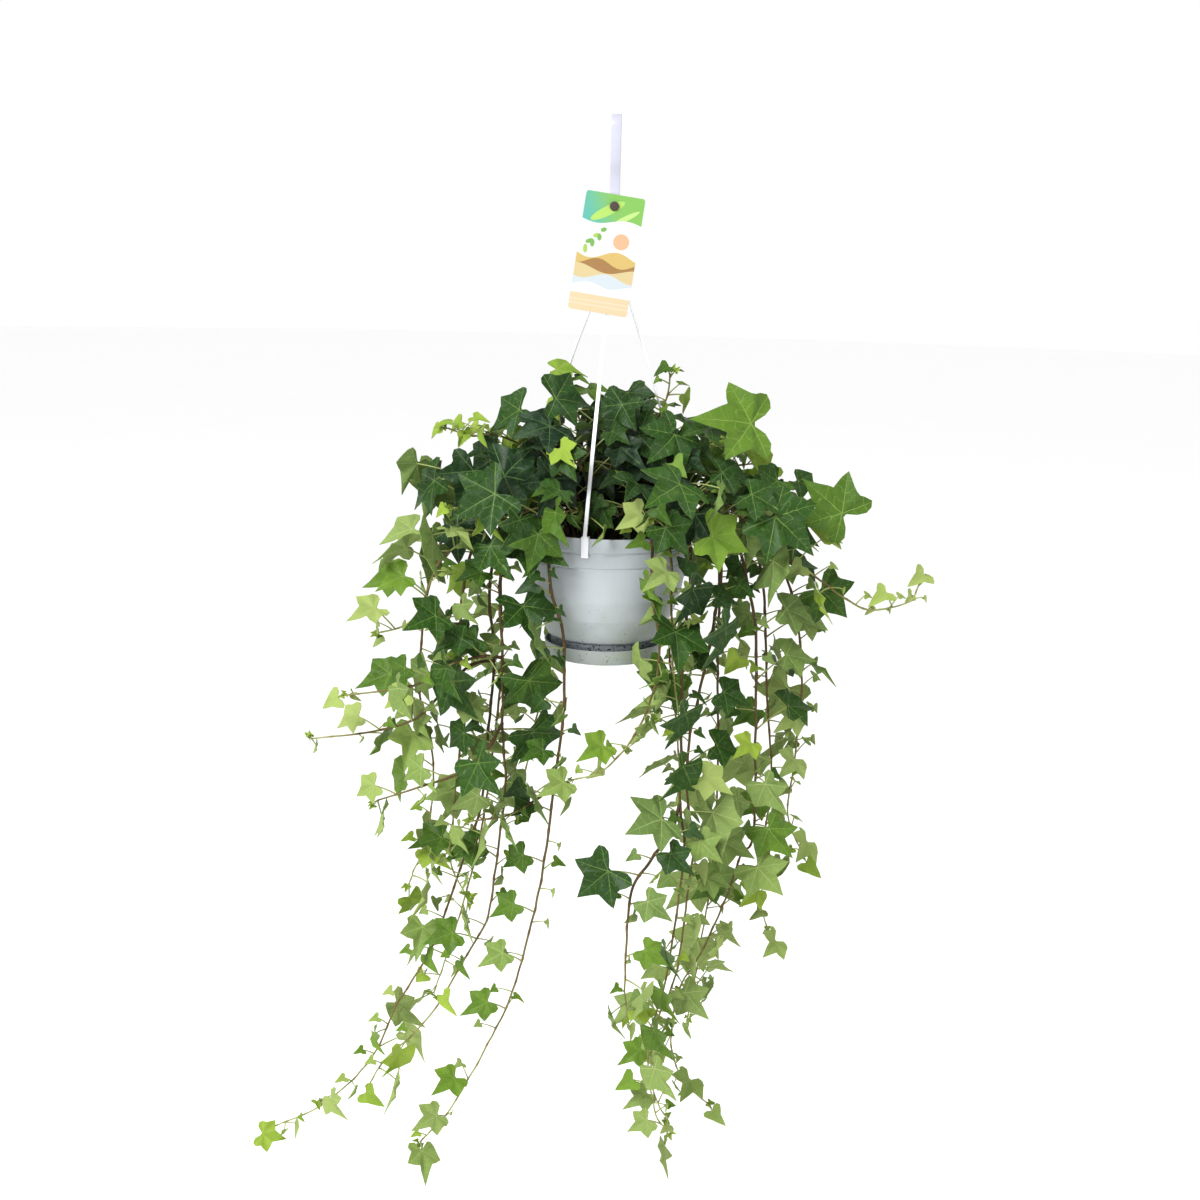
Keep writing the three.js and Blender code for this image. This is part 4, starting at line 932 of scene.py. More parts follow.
def leaf_form(name, edge, veins, rings, seed):
    """One leaf blade in leaf lengths, closed, its hub at the origin and its tip along Y."""
    chance = random.Random(seed)
    right = [(x, y, up, u, w) for (x, y, up), (u, w) in zip(edge, (p[:2] for p in veins))]
    left = [(-x, y, up, -u, w) for x, y, up, u, w in right[:0:-1]]
    outline = []
    long, wide, lean = (chance.uniform(-0.08, 0.08) for _ in range(3))
    for x, y, up, u, w in right + left:
        swell = 1.0 + chance.uniform(-0.02, 0.02) + (lean * x if y < 0.5 else 0.0)
        outline.append((x * swell * (1 + wide), y * swell * (1 + long), up, u, w))
    count = len(outline)
    points, plan, uvs = [(0.0, 0.0, 0.0)], [(0.0, 0.0, 0.0)], [(HUB_U, HUB_V)]
    for ring in rings:
        for x, y, up, u, w in outline:
            points.append((x * ring, y * ring, up * LOBE_LIFT * ring))
            plan.append((x * ring, y * ring, 0.0))
            uvs.append((HUB_U + u * ring, HUB_V + w * ring))
    side = len(points)
    last = 1 + (len(rings) - 1) * count
    faces, rim = [], set()
    for k in range(count):
        n = (k + 1) % count
        faces += [(0, 1 + n, 1 + k), (side, side + 1 + k, side + 1 + n)]
        for ring in range(len(rings) - 1):
            low, high = 1 + ring * count, 1 + (ring + 1) * count
            faces.append((low + k, low + n, high + n, high + k))
            low, high = low + side, high + side
            faces.append((low + n, low + k, high + k, high + n))
        faces.append((last + k, last + n, last + side + n, last + side + k))
        rim |= {frozenset((last + k + far, last + n + far)) for far in (0, side)}
    mesh = bpy.data.meshes.new(name)
    mesh.from_pydata(points * 2, [], faces)
    mesh.shade_smooth()
    spread(mesh, "plan", plan * 2)
    spread(mesh, "skin", [1.0] * side + [-1.0] * side)
    spread(mesh, "under", [0.0] * side + [1.0] * side)
    layer = mesh.uv_layers.new(name="UVMap")
    corners = np.empty(len(mesh.loops), dtype=np.int32)
    mesh.loops.foreach_get("vertex_index", corners)
    layer.uv.foreach_set("vector", np.asarray(uvs * 2, dtype=np.float32)[corners].ravel())
    sharp = mesh.attributes.new("sharp_edge", "BOOLEAN", "EDGE")
    sharp.data.foreach_set("value", [frozenset(e.vertices) in rim for e in mesh.edges])
    return mesh


def spread(mesh, name, values):
    """Stores a number, a switch or a vector for each point of a mesh."""
    kinds = {bool: "BOOLEAN", int: "INT", float: "FLOAT"}
    kind = kinds.get(type(values[0]), "FLOAT_VECTOR")
    layer = mesh.attributes.new(name, kind, "POINT")
    layer.data.foreach_set(
        "vector" if kind == "FLOAT_VECTOR" else "value", np.asarray(values).ravel())


def kind_of(size):
    """0 for a large leaf, 1 for a middling and 2 for a small one."""
    return 0 if size >= LARGE_FROM else 1 if size >= MIDDLE_FROM else 2


def draw(vine, leaf, attempt, use):
    """A number from 0 to 1 that looks random and is the same in every run."""
    s = 1 + vine * 7919 + leaf * 611953 + attempt * 1299709 + use * 15485863
    for _ in range(3):
        s = (s % 2147483647) * 48271
    return (s % 2147483647) / 2147483647


def curve(points):
    """A smooth line through the points, in even steps from one to the next."""
    path = []
    for i in range(len(points) - 1):
        a, b, c = points[max(i - 1, 0)], points[i], points[i + 1]
        d = points[min(i + 2, len(points) - 1)]
        for k in range(STEPS):
            t = k / STEPS
            path.append(
                a * (-0.5 * t + t * t - 0.5 * t ** 3) + b * (1 - 2.5 * t * t + 1.5 * t ** 3)
                + c * (0.5 * t + 2 * t * t - 1.5 * t ** 3) + d * (-0.5 * t * t + 0.5 * t ** 3))
    return path + [points[-1].copy()]


def length_of(path):
    return sum((b - a).length for a, b in zip(path, path[1:]))


def walk(path, distance):
    """The place at a distance along a path, and the way that the path runs there."""
    left = distance
    for i, (a, b) in enumerate(zip(path, path[1:])):
        step = (b - a).length
        if left <= step or i + 2 == len(path):
            along = (b - a).normalized()
            return a + along * min(left, step), along
        left -= step


def grow_stem(vine, seed, points, first, bare):
    """The smooth line of a stem and the places of its leaves."""
    path = curve(points)
    links = [points[0]]
    for i in range(len(points) - 1):
        span = path[i * STEPS:(i + 1) * STEPS + 1]
        count = math.ceil(length_of(span) / LINK)
        links += [span[int(k * STEPS / count + 0.5)] for k in range(1, count + 1)]
    total = length_of(links)
    ats = [bare]
    while ats[-1] < total - 8:
        at = ats[-1]
        ats.append(at + vine.space * (1 - 0.3 * at / total)
                   * (0.8 + 0.4 * draw(seed, first + len(ats) - 1, 0, 0)))
    ats[-1] = total
    least, range_of = (0.6, 0.8) if vine.trails else (0.75, 0.5)
    leaves = []
    for index, at in enumerate(ats, first):
        f = at / total
        point, along = walk(links, at)
        leaves.append(SimpleNamespace(
            index=index, at=at, f=f, last=at == total, far=0.0, point=point, along=along,
            size=size_at(vine, f) * (least + range_of * draw(seed, index, 0, 1))))
    return SimpleNamespace(
        path=path, links=links, leaves=leaves, total=total, first=first, bare=bare)


def size_at(vine, f):
    return vine.leaf[0] + (vine.leaf[1] - vine.leaf[0]) * f


def leaves_between(vine, seed, stem):
    """Smaller leaves that fill a stem between the larger: on long stalks in the crown."""
    fine = []
    at = stem.bare * (0.8 if vine.trails else 0.45)
    while at < stem.total:
        index = stem.first + 50 + len(fine)
        f = at / stem.total
        size = size_at(vine, f) * (0.35 + 0.35 * draw(seed, index, 0, 1))
        point, along = walk(stem.links, at)
        far = FINE_REACH[1] if vine.trails else FINE_REACH[0] * (1 - f)
        size *= 0.75 if vine.trails else 1.5 if vine.leaf[0] < 45 else 1.0
        fine.append(SimpleNamespace(
            index=index, at=at, f=f, last=False, size=size, point=point, along=along, far=far))
        at += FINE_SPACE[vine.trails] * (0.6 + 0.8 * draw(seed, index, 0, 0))
    return fine


def pose(vine, seed, leaf, attempt, loose=0.0):
    """How a leaf sits: the seat of its stalk, the way its tip points and its face looks.

    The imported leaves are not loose. Those that grow between them turn and reach further.
    """
    def pick(use, tried=attempt):
        return draw(seed, leaf.index, tried, use)

    hero = vine.end if leaf.last and leaf.index < 100 else None
    size, face, lift, roll = hero or (leaf.size, vine.face, vine.lift, 0)
    side = -1 if leaf.index % 2 else 1
    wild = leaf.f if vine.trails else 0.0
    turned = 180 if wild > 0.45 and pick(3, 0) < 0.3 and not hero else 0
    spread_out = 3 * attempt if hero else 32 + 40 * wild + 4 * attempt + 25 * loose
    turn = math.radians(face + turned + spread_out * (2 * pick(2) - 1))
    tilt = math.radians(lift + (5 if hero else 32 + 20 * loose) * (2 * pick(4) - 1))
    facing = Vector((
        math.cos(turn) * math.cos(tilt), math.sin(turn) * math.cos(tilt), math.sin(tilt)))
    down = (Vector((0, 0, -1)) + facing * facing.z).normalized()
    aside = down.cross(facing)
    swing = math.radians(
        roll + 3 * attempt * (2 * pick(5) - 1) if hero else side * (15 + 65 * pick(5)))
    tipward = down * math.cos(swing) + aside * math.sin(swing)
    if leaf.last:
        reach = 0.25 * size + 5 + attempt
        stalk = leaf.along + tipward * 0.4
    else:
        reach = (0.35 + 0.35 * pick(6)) * size + 5 + 1.5 * attempt + leaf.far * pick(9)
        stalk = aside * (0.7 * side) + facing * 0.6 + Vector((0, 0, STALK_RISE * pick(7)))
    stalk.normalize()
    # The stalk comes from behind the blade
    stalk += facing * max(0.0, BEHIND - stalk.dot(facing))
    stalk.normalize()
    return SimpleNamespace(
        size=size, seat=leaf.point + stalk * reach, stalk=stalk, facing=facing,
        tipward=tipward, across=tipward.cross(facing), curl=0.12 + 0.3 * pick(8, 0))


def on_blade(leaf, x, y, lift=0.0, grow=1.0):
    """A place on a set leaf, in millimetres, from its plan in leaf lengths."""
    return (leaf.seat + leaf.across * (x * leaf.size * grow)
            + leaf.tipward * (y * leaf.size * grow)
            + leaf.facing * (lift - leaf.curl * (x * x + y * y) * leaf.size))


def packed_pose(vine, seed, leaf, corners):
    """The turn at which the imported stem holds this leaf, if it does."""
    for attempt in range(TRIES):
        held = pose(vine, seed, leaf, attempt)
        tips = [on_blade(held, x, y, 0.4) for x, y in PACKED_TIPS[kind_of(held.size)]]
        if sum(corners.find(tip * MM)[2] < SAME_PLACE * MM for tip in tips) >= 2:
            return held
    return None


def rough_leaf(leaf, start):
    """Two loose sheets for a leaf and a strip for its stalk, to test what they would touch."""
    outline = [p[:2] for p in LEAF_KINDS[kind_of(leaf.size)][0]]
    ring = outline[::2] + [(-x, y) for x, y in outline[::-2]]
    points = [leaf.seat] + [on_blade(leaf, x, y, 0.0, 1.05) for x, y in ring]
    faces = [(0, 1 + k, 1 + (k + 1) % len(ring)) for k in range(len(ring))]
    side = leaf.stalk.cross(leaf.facing).normalized() * 1.3
    n = len(points)
    points += [start - side, start + side, leaf.seat]
    return BVHTree.FromPolygons([p * MM for p in points], faces + [(n, n + 1, n + 2)])


def inside_box(leaf):
    """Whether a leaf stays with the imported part, give or take a few millimetres."""
    spare = BOX_SPARE * MM
    tips = [on_blade(leaf, x, y) * MM for x, y in (
        (0, 0.75), (0.48, 0.3), (-0.48, 0.3), (0.38, -0.25), (-0.38, -0.25))]
    return all(a - spare <= p <= b + spare
               for tip in tips for p, a, b in zip(tip, *CAD_BOX))


def free_pose(vine, seed, leaf, around):
    """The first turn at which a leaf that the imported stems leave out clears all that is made."""
    for attempt in range(FREE_TRIES):
        held = pose(vine, seed, leaf, attempt, 1.0)
        if not inside_box(held):
            continue
        start = leaf.point + held.stalk * min(5.0, 0.5 * (held.seat - leaf.point).length)
        rough = rough_leaf(held, start)
        reach = (held.size * 0.9 + (held.seat - start).length) * MM
        middle = held.seat * MM
        if any((middle - other).length < reach + far and rough.overlap(tree)
               for other, far, tree in around):
            continue
        around.append((middle, held.size * 0.9 * MM, rough))
        return held
    return None


class Skeleton:
    """The lines of a leafy stem and the places of its blades, before the tree dresses them."""

    KEYS = {
        "blade": False, "form": 0, "facing": (0.0, 0.0, 1.0), "tipward": (0.0, 1.0, 0.0),
        **dict.fromkeys((
            "thick", "age", "joint", "size", "curl", "wave", "phase", "fold", "tone", "mark",
            "pale"), 0.0),
    }

    def __init__(self):
        self.points, self.edges = [], []
        self.values = {key: [] for key in self.KEYS}

    def point(self, place, **given):
        self.points.append(place * MM)
        for key, plain in self.KEYS.items():
            self.values[key].append(given.get(key, plain))

    def blade(self, seat, facing, tipward, size, **given):
        """The place of a leaf's hub and what its blade is like."""
        self.point(seat, blade=True, size=size * MM, facing=tuple(facing),
                   tipward=tuple(tipward), **given)

    def line(self, places, thick, age, joint):
        """A line of points in millimetres, with a value of each kind for every point."""
        first = len(self.points)
        for k, place in enumerate(places):
            self.point(place, thick=thick[k] * MM, age=age[k], joint=joint[k])
            if k:
                self.edges.append((first + k - 1, first + k))

    def mesh(self, name):
        mesh = bpy.data.meshes.new(name)
        mesh.from_pydata(self.points, self.edges, [])
        for key, values in self.values.items():
            spread(mesh, key, values)
        return mesh


def even_line(path, step):
    """Points at even steps along a path, and how far along each one lies."""
    total = length_of(path)
    count = max(2, round(total / step))
    places, ats, at, i = [], [], 0.0, 0
    for k in range(count + 1):
        want = total * k / count
        while i + 2 < len(path) and at + (path[i + 1] - path[i]).length < want:
            at += (path[i + 1] - path[i]).length
            i += 1
        way = path[i + 1] - path[i]
        places.append(path[i] + way * min(1.0, (want - at) / max(way.length, 1e-6)))
        ats.append(want)
    return places, ats


def add_stem(skeleton, stem, chance):
    """The stem itself: thicker at its joints and bent a little from one to the next."""
    places, ats = even_line(stem.path, STEM_STEP)
    joints = [leaf.at for leaf in stem.leaves]
    bends = [Vector((chance.uniform(-1, 1), chance.uniform(-1, 1), 0)) * 0.9 for _ in joints]
    thick, age, joint = [], [], []
    for k, at in enumerate(ats):
        near = min(range(len(joints)), key=lambda j: abs(joints[j] - at))
        close = math.exp(-((joints[near] - at) / 2.6) ** 2)
        share = min(at / stem.total, 1.0)
        thick.append((STEM_ROOT_R + (STEM_TIP_R - STEM_ROOT_R) * share) * (1 + 0.3 * close))
        age.append(0.06 + 0.80 * share ** 2.2 * min(1.0, stem.total / 500 + 0.45))
        joint.append(close)
        places[k] = places[k] + bends[near] * math.exp(-((joints[near] - at) / 9.0) ** 2)
    skeleton.line(places, thick, age, joint)
    return places


def add_leaf(skeleton, vine, leaf, held, places, look, chance):
    """A blade and the stalk that carries it from the stem."""
    young = vine.tone[0] + (vine.tone[1] - vine.tone[0]) * leaf.f ** 1.3
    young += max(0.0, 0.10 * (1 - held.size / 45)) + chance.uniform(-0.12, 0.12)
    # Here and there a leaf is far younger than its neighbours
    if held.size < 50 and chance.random() < 0.16:
        young += chance.uniform(0.35, 0.7)
    toned = leaf.last and vine.end_tone is not None
    if toned and leaf.index < 100:
        young = vine.end_tone
    young = min(1.0, max(0.0, young))
    # On the trails the light shines through some leaves, which then look like their backs
    lit = vine.trails and not toned and chance.random() < 0.12 + 0.55 * leaf.f
    pale = chance.uniform(0.55, 0.95) if lit else 0.0
    skeleton.blade(
        held.seat, held.facing, held.tipward, held.size, curl=held.curl,
        wave=chance.uniform(0.03, 0.13), phase=chance.uniform(0, 6.28),
        fold=chance.uniform(0.02, 0.36), tone=young, mark=chance.random(), pale=pale,
        form=kind_of(held.size) * LEAF_VARIANTS + chance.randrange(LEAF_VARIANTS))
    start = min(places, key=lambda place: (place - leaf.point).length)
    end = held.seat - held.facing * 0.55
    middle = (start + end) / 2 + Vector((0, 0, 0.07 * (end - start).length))
    radius = look.petiole_radius / MM * (0.75 + 0.25 * min(1.0, held.size / 50))
    steps = [k / 6 for k in range(7)]
    skeleton.line(
        quad_line(start, middle, end, 6), [radius * (1.25 - 0.35 * t) for t in steps],
        [0.62 + 0.10 * young + 0.24 * t for t in steps],
        [0.5 * math.exp(-t * 9) for t in steps])


def add_tip(skeleton, stem, places, chance):
    """A few leaves just opened at the growing end of a stem."""
    def any_way(most):
        return Vector([chance.uniform(-most, most) for _ in range(3)])

    end, along = places[-1], stem.leaves[-1].along
    for k in range(3):
        way = (along + any_way(0.9)).normalized()
        seat = end + way * chance.uniform(3.0, 8.0)
        facing = (Vector((0, -0.6, 0.5)) - way * 0.5 + any_way(0.5)).normalized()
        tipward = (way - facing * way.dot(facing)).normalized()
        skeleton.blade(
            seat, facing, tipward, chance.uniform(6.0, 12.0), curl=0.2, wave=0.03,
            phase=chance.uniform(0, 6.28), fold=0.35, tone=chance.uniform(0.85, 1.0),
            mark=chance.random(), form=2 * LEAF_VARIANTS + k)
        skeleton.line([end, seat], [0.5, 0.35], [1.0, 1.0], [0.0, 0.0])


def clearings():
    """What the leaves keep clear of from the front: the front strand and the pot's middle."""
    slit = []
    for point in (Vector((-2, -11, -170)), Vector((-22, -90, -428))):
        for ahead in (0, 150):
            place = point + (Vector(EYE) / MM - point).normalized() * ahead
            slit += [place - Vector((3, 0, 0)), place + Vector((3, 0, 0))]
    ys, zs = (-240, -60), (RIM_Z - 172, RIM_Z - 12)
    box = [Vector((x, y, z)) for x in (-37, 31) for y in ys for z in zs]
    sides = [(0, 1, 3, 2), (4, 6, 7, 5), (0, 4, 5, 1), (2, 3, 7, 6), (0, 2, 6, 4), (1, 5, 7, 3)]
    # Sheets across the box catch a leaf that lies wholly inside it
    box += [Vector((x, y, z)) for x in (-20, -3, 14) for y, z in (
        (ys[0], zs[0]), (ys[1], zs[0]), (ys[1], zs[1]), (ys[0], zs[1]))]
    sheets = [(k, k + 1, k + 2, k + 3) for k in (8, 12, 16)]
    kept = []
    for points, faces in ((slit, sides), (box, sides + sheets)):
        points = [point * MM for point in points]
        middle = sum(points, Vector()) / len(points)
        far = max((point - middle).length for point in points)
        kept.append((middle, far, BVHTree.FromPolygons(points, faces)))
    return kept


def corners_of(node):
    """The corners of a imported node, to look places up in."""
    vertices = frame["nodes"][node].data.vertices
    corners = kdtree.KDTree(len(vertices))
    for vertex in vertices:
        corners.insert(vertex.co, vertex.index)
    corners.balance()
    return corners


def grown_skeletons(look):
    """A skeleton for each vine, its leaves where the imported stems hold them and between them."""
    around = clearings()
    for node in frame["nodes"].values():
        mesh = node.data
        low, high = (Vector(corner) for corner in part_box(node.name))
        tree = BVHTree.FromPolygons(
            [v.co for v in mesh.vertices], [tuple(p.vertices) for p in mesh.polygons])
        around.append(((low + high) / 2, (high - low).length / 2, tree))
    skeletons = {}
    for seed, vine in enumerate(VINES):
        root = [Vector((*vine.root, SOIL_Z + high)) for high in (-HOLE_DEEP, 2, 14)]
        main = root + [Vector(point) for point in vine.route]
        stems = [grow_stem(vine, seed, main, 0, vine.bare + HOLE_DEEP)]
        for k, side in enumerate(vine.side, 1):
            stems.append(grow_stem(vine, seed, [Vector(point) for point in side], 100 * k, 24))
        corners = corners_of(vine.name)
        chance = random.Random(1000 + seed)
        skeleton = Skeleton()
        for stem in stems:
            places = add_stem(skeleton, stem, chance)
            for leaf in stem.leaves:
                held = packed_pose(vine, seed, leaf, corners)
                # The trails thin out towards their ends
                if vine.trails and not held and chance.random() < vine.thin * leaf.f:
                    continue
                held = held or free_pose(vine, seed, leaf, around)
                if held:
                    add_leaf(skeleton, vine, leaf, held, places, look, chance)
            for leaf in leaves_between(vine, seed, stem):
                if vine.trails and chance.random() < vine.thin * leaf.f * 0.6:
                    continue
                held = free_pose(vine, seed, leaf, around)
                if held:
                    add_leaf(skeleton, vine, leaf, held, places, look, chance)
            add_tip(skeleton, stem, places, chance)
        skeletons[vine.name] = skeleton
    return skeletons


def merged(pieces):
    """One piece of several that are moulded as one, in the place of the first."""
    shell = bmesh.new()
    materials = []
    for piece in pieces:
        own = list(piece.data.materials)
        materials += [material for material in own if material not in materials]
        start = len(shell.faces)
        shell.from_mesh(piece.data)
        shell.faces.ensure_lookup_table()
        for face in shell.faces[start:]:
            face.material_index = materials.index(own[face.material_index])
    first, *others = pieces
    first.data.materials.clear()
    for material in materials:
        first.data.materials.append(material)
    shell.to_mesh(first.data)
    shell.free()
    for piece in others:
        discard(piece)
    return first


def discard(piece):
    mesh = piece.data
    bpy.data.objects.remove(piece)
    bpy.data.meshes.remove(mesh)


def strap(name, tree, line, width, thick, across, material):
    """A strap through the points of a line, in millimetres."""
    mesh = bpy.data.meshes.new(name)
    mesh.from_pydata([p * MM for p in line], [(k, k + 1) for k in range(len(line) - 1)], [])
    piece = grown_by(tree, name, mesh, {
        "Width": width * MM, "Thickness": thick * MM, "Edge Radius": thick * 0.32 * MM,
        "Across": across, "Finish": material})
    piece.data.shade_smooth()
    piece.data.set_sharp_from_angle(angle=math.radians(50))
    return piece


def turned(name, profile, facets, material, base=0.0, rounding=0.0):
    """A body turned from its profile, in millimetres, and raised to its base."""
    if rounding:
        profile = [p.xy for p in rounded([(r, z, 0) for r, z in profile], rounding, 3)]
    points, faces = lathe([(r, z + base) for r, z in profile], facets)
    return put_in_scene(name, solid_mesh(name, points, faces), material)


def belongs(piece, node):
    """The piece rides on the body and stands for its node, which is hidden."""
    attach(piece, "root")
    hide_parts(node)


class IVY_OT_stage(bpy.types.Operator):
    """Adds the floor, the lights and the camera"""

    bl_idname = "ivy.stage"
    bl_label = "Stage"

    def execute(self, context):
        scene = context.scene
        look = scene.ivy_stage
        ring = [(x, y, look.floor_drop / MM) for x, y in ring_of(FLOOR_FACETS, FLOOR_R)]
        mesh = solid_mesh("floor", ring, [tuple(range(FLOOR_FACETS))])
        put_in_scene("floor", mesh, floor_material())
        world = bpy.data.worlds.new("white_room")
        world.use_nodes = True
        backdrop = world.node_tree.nodes["Background"]
        backdrop.inputs["Color"].default_value = (1.0, 1.0, 1.0, 1.0)
        backdrop.inputs["Strength"].default_value = look.sky
        scene.world = world
        scene.view_settings.view_transform = "Standard"
        scene.view_settings.gamma = GAMMA
        for name, power, place, size in (
                ("key", look.key, (-1.7, -2.3, 1.7), 1.5),
                ("fill", look.fill, (2.4, -2.0, 0.2), 2.5)):
            light = bpy.data.lights.new(name, "AREA")
            light.energy = power
            light.size = size
            lamp = bpy.data.objects.new(name, light)
            lamp.location = place
            way = Vector((0, 0, -0.5)) - Vector(place)
            lamp.rotation_euler = way.to_track_quat("-Z", "Y").to_euler()
            scene.collection.objects.link(lamp)
        lens = bpy.data.cameras.new("camera")
        lens.lens = look.lens
        lens.sensor_width = 36.0
        camera = bpy.data.objects.new("camera", lens)
        camera.matrix_world = (
            Matrix.Translation(look.eye)
            @ Matrix.Rotation(math.radians(90 - look.pitch), 4, "X")
            @ Matrix.Rotation(math.radians(look.roll), 4, "Z"))
        scene.collection.objects.link(camera)
        scene.camera = camera
        return {"FINISHED"}


class IVY_OT_pot(bpy.types.Operator):
    """Turns the pot: a foot, a belly, two grooves and a rolled rim, with a thin wall"""

    bl_idname = "ivy.pot"
    bl_label = "Pot"

    def execute(self, context):
        look = context.scene.ivy_holder
        outside = [
            (0, 0), (FOOT_R, 0), (FOOT_R, 4), (59, 5.5), (FOOT_R, 7), (FOOT_R, 20), (61, 22),
            (66, 31), (75, 48), (82.5, 70), (87, 96), (88, 106), (87, 107.5), (88.6, 109),
            (89.2, 122), (88, 123.5), (POT_R, 125.5), (POT_R, POT_H),
        ]
        inside = [(88.2, POT_H), (86, 104), (82, 74), (72, 46), (57, 22), (54, 2.5), (0, 2.5)]
        plastic = plastic_material("pot_plastic", look.pot, 0.7, 1.0)
        pot = turned("pot_body", outside + inside, look.facets, plastic, FLOOR_Z, 0.9)
        belongs(pot, "pot")
        return {"FINISHED"}


class IVY_OT_saucer(bpy.types.Operator):
    """Turns the saucer that is clipped under the foot"""

    bl_idname = "ivy.saucer"
    bl_label = "Saucer"

    def execute(self, context):
        look = context.scene.ivy_holder
        low, lip = -1.8 - GAP, FOOT_R + GAP
        shape = [
            (0, low), (FOOT_R, low), (62, low + 2), (SAUCER_R, low + SAUCER_H),
            (63.2, low + SAUCER_H), (60.6, low + 4), (60.3, -GAP), (60.2, 6.2), (lip, 7.3),
            (59.3, 5.5), (lip, 3.7), (lip, -GAP), (0, -GAP),
        ]
        plastic = plastic_material("saucer_plastic", look.saucer, 1.0)
        saucer = turned("saucer_dish", shape, look.facets, plastic, FLOOR_Z, 0.6)
        belongs(saucer, "saucer")
        return {"FINISHED"}


class IVY_OT_soil(bpy.types.Operator):
    """Fills the pot with soil, crumbly on top"""

    bl_idname = "ivy.soil"
    bl_label = "Soil"

    def execute(self, context):
        look = context.scene.ivy_holder
        top = SOIL_Z - FLOOR_Z
        line = [(0, 2.8), (53.5, 2.8), (56.5, 22.3), (71.5, 46.3), (81.5, 74.3), (85.5, 104.3),
                (SOIL_R, top - 1)]
        line += [(SOIL_R * (1 - k / 24), top) for k in range(1, 24)] + [(0, top)]
        points, faces = lathe([(r, FLOOR_Z + z) for r, z in line], SOIL_FACETS)
        mesh = solid_mesh("soil", points, faces, 60.0)
        for vertex in mesh.vertices:
            far = math.hypot(vertex.co.x, vertex.co.y) / MM
            if vertex.co.z > (SOIL_Z - 0.5) * MM:
                mound = 3.2 * max(0.0, 1 - far / SOIL_R)
                lump = 1.6 * noise.noise(vertex.co * 90) + 0.8 * noise.noise(vertex.co * 300)
                vertex.co.z += (mound + lump) * MM
        earth = soil_material("potting_soil", look.soil, 0.9)
        grit = soil_material("white_grit", (0.50, 0.48, 0.44), 0.8)
        parts = [put_in_scene("soil_body", mesh, earth)]
        tree = grain_tree()
        for density, smallest, largest, seed, finish in (
                (9000.0, 0.9, 2.4, 7, earth), (900.0, 1.0, 2.1, 11, grit)):
            parts.append(grown_by(tree, "soil_crumbs", mesh.copy(), {
                "Density": density, "Smallest": smallest * MM, "Largest": largest * MM,
                "Lowest": (SOIL_Z - 3) * MM, "Seed": seed, "Finish": finish}))
        belongs(merged(parts), "soil")
        return {"FINISHED"}


class IVY_OT_hanger(bpy.types.Operator):
    """Moulds the strap hook and the three strands with their clips"""

    bl_idname = "ivy.hanger"
    bl_label = "Hanger"

    def execute(self, context):
        look = context.scene.ivy_holder
        plastic = hanger_material("hook_plastic", look.hanger)
        # Painted light: the strands' plastic is painted far paler than the hook's, against the
        # shade on the side strands
        clear = hanger_material("strand_plastic", look.strand)
        # Painted shade: the peg's head is painted near black for the shade in the card's hole
        peg_shade = hanger_material("stud_plastic", look.stud)
        tree = strap_tree()
        bend_r = HOOK_R + STRAP_T / 2
        level = HOOK_R * math.sin(math.radians(75))
        line = rounded([(0, 0, BOSS_Z + 2), (0, 0, -62), (0, -bend_r, -34)], 12, 6)
        line += [Vector((0, bend_r * math.cos(a), bend_r * math.sin(a) - level))
                 for a in (math.pi * (1 - k / 32) for k in range(33))]
        line += [Vector((0, bend_r + out, z)) for out, z in (
            (0.3, -20), (0.8, -29), (3.2, -38.2))]
        hook = strap("hook", tree, line, STRAP_W, STRAP_T, (1.0, 0.0, 0.0), plastic)
        boss = turned("boss", [
            (0, -6), (BOSS_R - 1.4, -6), (BOSS_R - 0.6, -5.2), (BOSS_R, 5.2),
            (BOSS_R - 0.6, 6), (0, 6)], 48, plastic, BOSS_Z)
        points, faces = lathe(
            [(0, 0.4), (PEG_R, 0.4), (PEG_R, 6.9), (PEG_R + 2.2, 7.2), (PEG_R + 2.4, 7.5),
             (PEG_R + 1.4, 8.5), (0, 8.6)], 24)
        points = [(x, -z, y + PEG_Z) for x, y, z in points]
        peg = put_in_scene("peg", solid_mesh("peg", points, faces), peg_shade)
        belongs(merged([hook, boss, peg]), "hanger_hook")
        leg, inner = POT_R + GAP + 1.1, POT_R - POT_WALL - 2.4
        for name, turn, bow in STRANDS:
            turn = math.radians(turn)
            out = Vector((math.cos(turn), math.sin(turn), 0))
            across = (-out.y, out.x, 0.0)

            def at(r, z):
                return Vector((out.x * r, out.y * r, z))

            head = at(BOSS_R + GAP + 0.8, BOSS_Z - 3)
            foot = at(leg + 0.5, RIM_Z + 3)
            line = [head.lerp(foot, t) + out * (bow * 4 * t * (1 - t))
                    for t in (k / 24 for k in range(25))]
            line = [at(BOSS_R + 1.2, BOSS_Z + 1), *line, at(leg + 0.5, RIM_Z - 12)]
            strand = strap(
                name, tree, rounded(line, 2.0, 3), STRAND_W, STRAND_T, across, clear)
            line = [at(leg, RIM_Z - 20), at(leg, RIM_Z + 1.4), at(inner, RIM_Z + 1.4),
                    at(inner, RIM_Z - 8)]
            clip = strap(
                name + "_clip", tree, rounded(line, 1.4, 5), CLIP_W, STRAND_T, across, clear)
            belongs(merged([strand, clip]), name)
        return {"FINISHED"}


